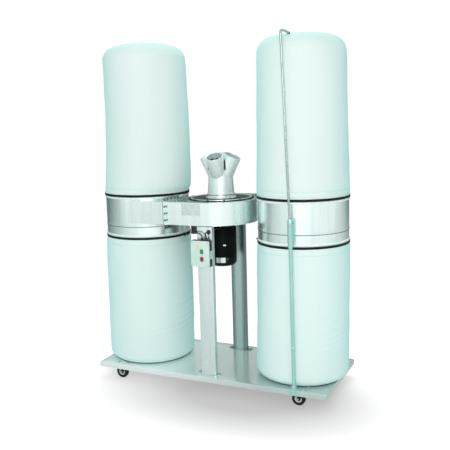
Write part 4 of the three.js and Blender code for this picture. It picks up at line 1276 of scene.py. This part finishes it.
def caster(name):
    """Top plate with ball race, stamped fork with axle, and wheel with tyre and hub."""
    plate_low, plate_high = extent(f"{name}_caster_plate")
    wheel_low, wheel_high = extent(f"{name}_caster_wheel")
    swivel = (plate_low + plate_high) / 2
    axle = (wheel_low + wheel_high) / 2
    radius = (wheel_high.z - wheel_low.z) / 2
    half = (wheel_high.y - wheel_low.y) / 2
    top = plate_high.z
    plate = slab(rectangle((swivel.x - 38, swivel.y - 30), (swivel.x + 38, swivel.y + 30), 4), top - 3, top)
    race = drum(21, top - 10.5, top - 2.6, 2, 40).placed(move(swivel.x, swivel.y))
    nuts = [bolt((swivel.x + dx, swivel.y + dy, top - 3), (0, 0, -1), 8, 5)
            for dx in (-28, 28) for dy in (-21, 21)]
    piece(f"{name}_caster_top_plate", joined([plate, race, *nuts]), ZINC,
          stands_for=[f"{name}_caster_plate"], bevel=0.4)
    crown = drum(20, 82, 89, 2, 40).placed(move(swivel.x, swivel.y))
    inner, outer = half + 1.2, half + 4
    reach = axle.x - swivel.x
    deck = block((swivel.x - 24, swivel.y - outer, 82), (swivel.x + 12, swivel.y + outer, 86.5), 3)
    corners = ((-21, 86), (12, 86), (reach + 10, 28), (reach - 10, 28))
    leg = slab(rounded([(swivel.x + x, z) for x, z in corners], 8, 6), 0, outer - inner)
    legs = [leg.placed(across_y(y)) for y in (swivel.y - outer, swivel.y + inner)]
    piece(f"{name}_caster_stamped_fork", joined([crown, deck, *legs]), BLACK_PAINT, body=f"{name}_fork",
          stands_for=[f"{name}_caster_fork"], bevel=0.8)
    pin = drum(4, -outer, outer, 0.4, 20).placed(at(axle, (0, 1, 0)))
    ends = [bolt(axle + Vector((0, s * outer, 0)), (0, s, 0), 9, 4) for s in (-1, 1)]
    piece(f"{name}_caster_axle", joined([pin, *ends]), ZINC, body=f"{name}_fork")
    rim = radius - 17
    tyre = [(rim, -half + 1), (radius - 9, -half + 1.6), *arc((radius - 4, -half + 4), 4, -110, -12, 5),
            (radius, -half + 7), (radius, half - 7), *arc((radius - 4, half - 4), 4, 12, 110, 5),
            (radius - 9, half - 1.6), (rim, half - 1), (rim, -half + 1)]
    lay = at(axle, (0, 1, 0))
    piece(f"{name}_caster_tyre", lathe(tyre, 96).placed(lay), RUBBER, body=f"{name}_wheel",
          stands_for=[f"{name}_caster_wheel"])
    hub = [(4.4, -half), (7, -half), (8, -half + 1), (8, -half + 3), (rim - 4, -half + 3.5),
           (rim - 2, -half + 1), (rim, -half + 1), (rim, half - 1), (rim - 2, half - 1), (rim - 4, half - 3.5),
           (8, half - 3), (8, half - 1), (7, half), (4.4, half), (4.4, -half)]
    piece(f"{name}_caster_hub", lathe(hub, 64).placed(lay), HUB_PLASTIC, body=f"{name}_wheel")


# ---------------------------------------------------------------- floor, light and camera

def stage():
    """A pale floor that fades into the white of the studio all round."""
    reach = 60
    floor = bpy.data.meshes.new("floor")
    corners = [(-reach, -reach, 0), (reach, -reach, 0), (reach, reach, 0), (-reach, reach, 0)]
    floor.from_pydata(corners, [], [(0, 1, 2, 3)])
    look = Look("floor_white", "sheet_paint", (0.9, 0.9, 0.9), 0.8, Emission_Color=(1, 0.98, 0.98, 1),
                Emission_Strength=0.34)
    # Painted shadow: a soft grey oval on the floor under the machine, longer along X than along Y.
    from_middle = look.calculate("VectorMath", "SUBTRACT", look.place, (0.2, -0.24, 0.0))["Vector"]
    oval = look.calculate("VectorMath", "MULTIPLY", from_middle, (0.62, 1.0, 0.0))["Vector"]
    look.tint(look.length(oval), (0.30, 0.28, 0.28), (0.985, 0.935, 0.935), 0.20, 0.66)
    # What the camera sees turns white from 1.3 to 2.8 metres away.
    fade = look.span(look.length(look.place), 1.3, 2.8, kind="SMOOTHSTEP")
    white = look.add("Emission", Color=(1, 1, 1, 1), Strength=1.0).outputs[0]
    seen = look.mixed(fade, look.shader.outputs[0], white)
    # Reflections see it brighter towards the front, as the sky is, and diffuse light sees it matt.
    matt = look.add("BsdfDiffuse", Color=(0.8, 0.82, 0.82, 1)).outputs[0]
    towards_front = look.span(look.forward(look.place, SHINE_AZIMUTH), -7.5, 7.5)
    shades = look.ramp(towards_front, ((0.12, (0.07, 0.13, 0.12)), (0.84, (1, 1, 1))))
    shine = look.add("Emission", Color=shades, Strength=1.12).outputs[0]
    look.by_ray(matt, shine, seen, look.tree.nodes["Material Output"])
    floor.materials.append(look.material)
    thing = bpy.data.objects.new("floor", floor)
    bpy.context.scene.collection.objects.link(thing)
    bpy.context.scene.view_settings.view_transform = "Standard"


def sky(world, azimuth, shades, strength):
    """Colours of the studio from behind the machine (0) round to its front (1), paler overhead."""
    place = world.add("TexCoord").outputs["Generated"]
    level = world.ramp(world.span(world.forward(place, azimuth), -1, 1), shades)
    height = world.add("SeparateXYZ", Vector=place).outputs["Z"]
    blend = world.add("Mix")
    blend.data_type = "RGBA"
    blend.inputs["B"].default_value = (0.62, 0.66, 0.66, 1)
    world.put(blend.inputs["Factor"], world.span(height, 0.05, 0.5, kind="SMOOTHSTEP"))
    world.put(blend.inputs["A"], level)
    return world.add("Background", Color=blend.outputs["Result"], Strength=strength).outputs[0]


def studio():
    """White in front, dimmer and teal behind, darker still in reflections, and white where it is seen."""
    surroundings = bpy.data.worlds.new("studio")
    surroundings.use_nodes = True
    world = Nodes(surroundings.node_tree)
    white = (1.0, 1.0, 1.0)
    soft_shades = ((0.0, (0.40, 0.52, 0.50)), (0.4, (0.48, 0.60, 0.58)), (0.85, white))
    shiny_shades = ((0.0, (0.12, 0.19, 0.185)), (0.35, (0.22, 0.32, 0.31)), (0.6, (0.5, 0.66, 0.64)),
                    (0.85, white))
    soft = sky(world, SOFT_AZIMUTH, soft_shades, 1.0)
    shiny = sky(world, SHINE_AZIMUTH, shiny_shades, 1.12)
    seen = world.tree.nodes["Background"]
    seen.inputs["Color"].default_value = (1, 1, 1, 1)
    world.by_ray(soft, shiny, seen.outputs[0], world.tree.nodes["World Output"])
    bpy.context.scene.world = surroundings


def soft_light(name, place, target, width, height, watts):
    data = bpy.data.lights.new(name, "AREA")
    data.shape = "RECTANGLE"
    data.size = width
    data.size_y = height
    data.energy = watts
    light = bpy.data.objects.new(name, data)
    light.location = place
    light.rotation_euler = (Vector(target) - Vector(place)).to_track_quat("-Z", "Y").to_euler()
    bpy.context.scene.collection.objects.link(light)


def lights():
    soft_light("top_box", (-0.5, 1.6, 4.4), (0, 0, 0.6), 3.0, 2.0, 45)
    soft_light("front_box", (1.7, -4.4, 2.6), (0, 0, 1.0), 1.8, 2.4, 100)


def camera():
    """The camera stands 25 degrees round to the right of the switch and looks slightly down."""
    place = Vector((1.70903, -3.61030, 1.57232))
    pitch, roll = math.radians(8.979), math.radians(-1.556)
    level = math.cos(pitch)
    back = Vector((math.sin(VIEW_AZIMUTH) * level, -math.cos(VIEW_AZIMUTH) * level, math.sin(pitch)))
    up = back.cross(VIEW_RIGHT)
    across = VIEW_RIGHT * math.cos(roll) + up * math.sin(roll)
    above = up * math.cos(roll) - VIEW_RIGHT * math.sin(roll)
    data = bpy.data.cameras.new("camera")
    data.sensor_width = 36
    data.lens = 54.485
    eye = bpy.data.objects.new("camera", data)
    facing = Matrix((across, above, back)).transposed().to_4x4()
    eye.matrix_world = Matrix.Translation(place) @ facing
    bpy.context.scene.collection.objects.link(eye)
    bpy.context.scene.camera = eye


# ---------------------------------------------------------------- the machine

camera()
stage()
studio()
lights()
base()
pillars()
blower()
cover()
manifold()
for side, place in SIDES.items():
    collar(side, place)
    bag(f"{side}_filter_bag", FILTER_CLOTH, 3.1 if side == "left" else 8.7)
    bag(f"{side}_collection_bag", BAG_CLOTH, 1.4 if side == "left" else 5.2)
    clamp(side, "lower", place)
    clamp(side, "upper", place)
    pole(side, place)
motor()
switch()
leads()
for corner in CORNERS:
    caster(corner)
inside = {"impeller": CAST, "rotor_shaft": ZINC, "cooling_fan": BLACK_PLASTIC, "stator": COPPER,
          "upper_bearing": ZINC, "lower_bearing": ZINC}
for node, look in inside.items():
    dress(node, look)
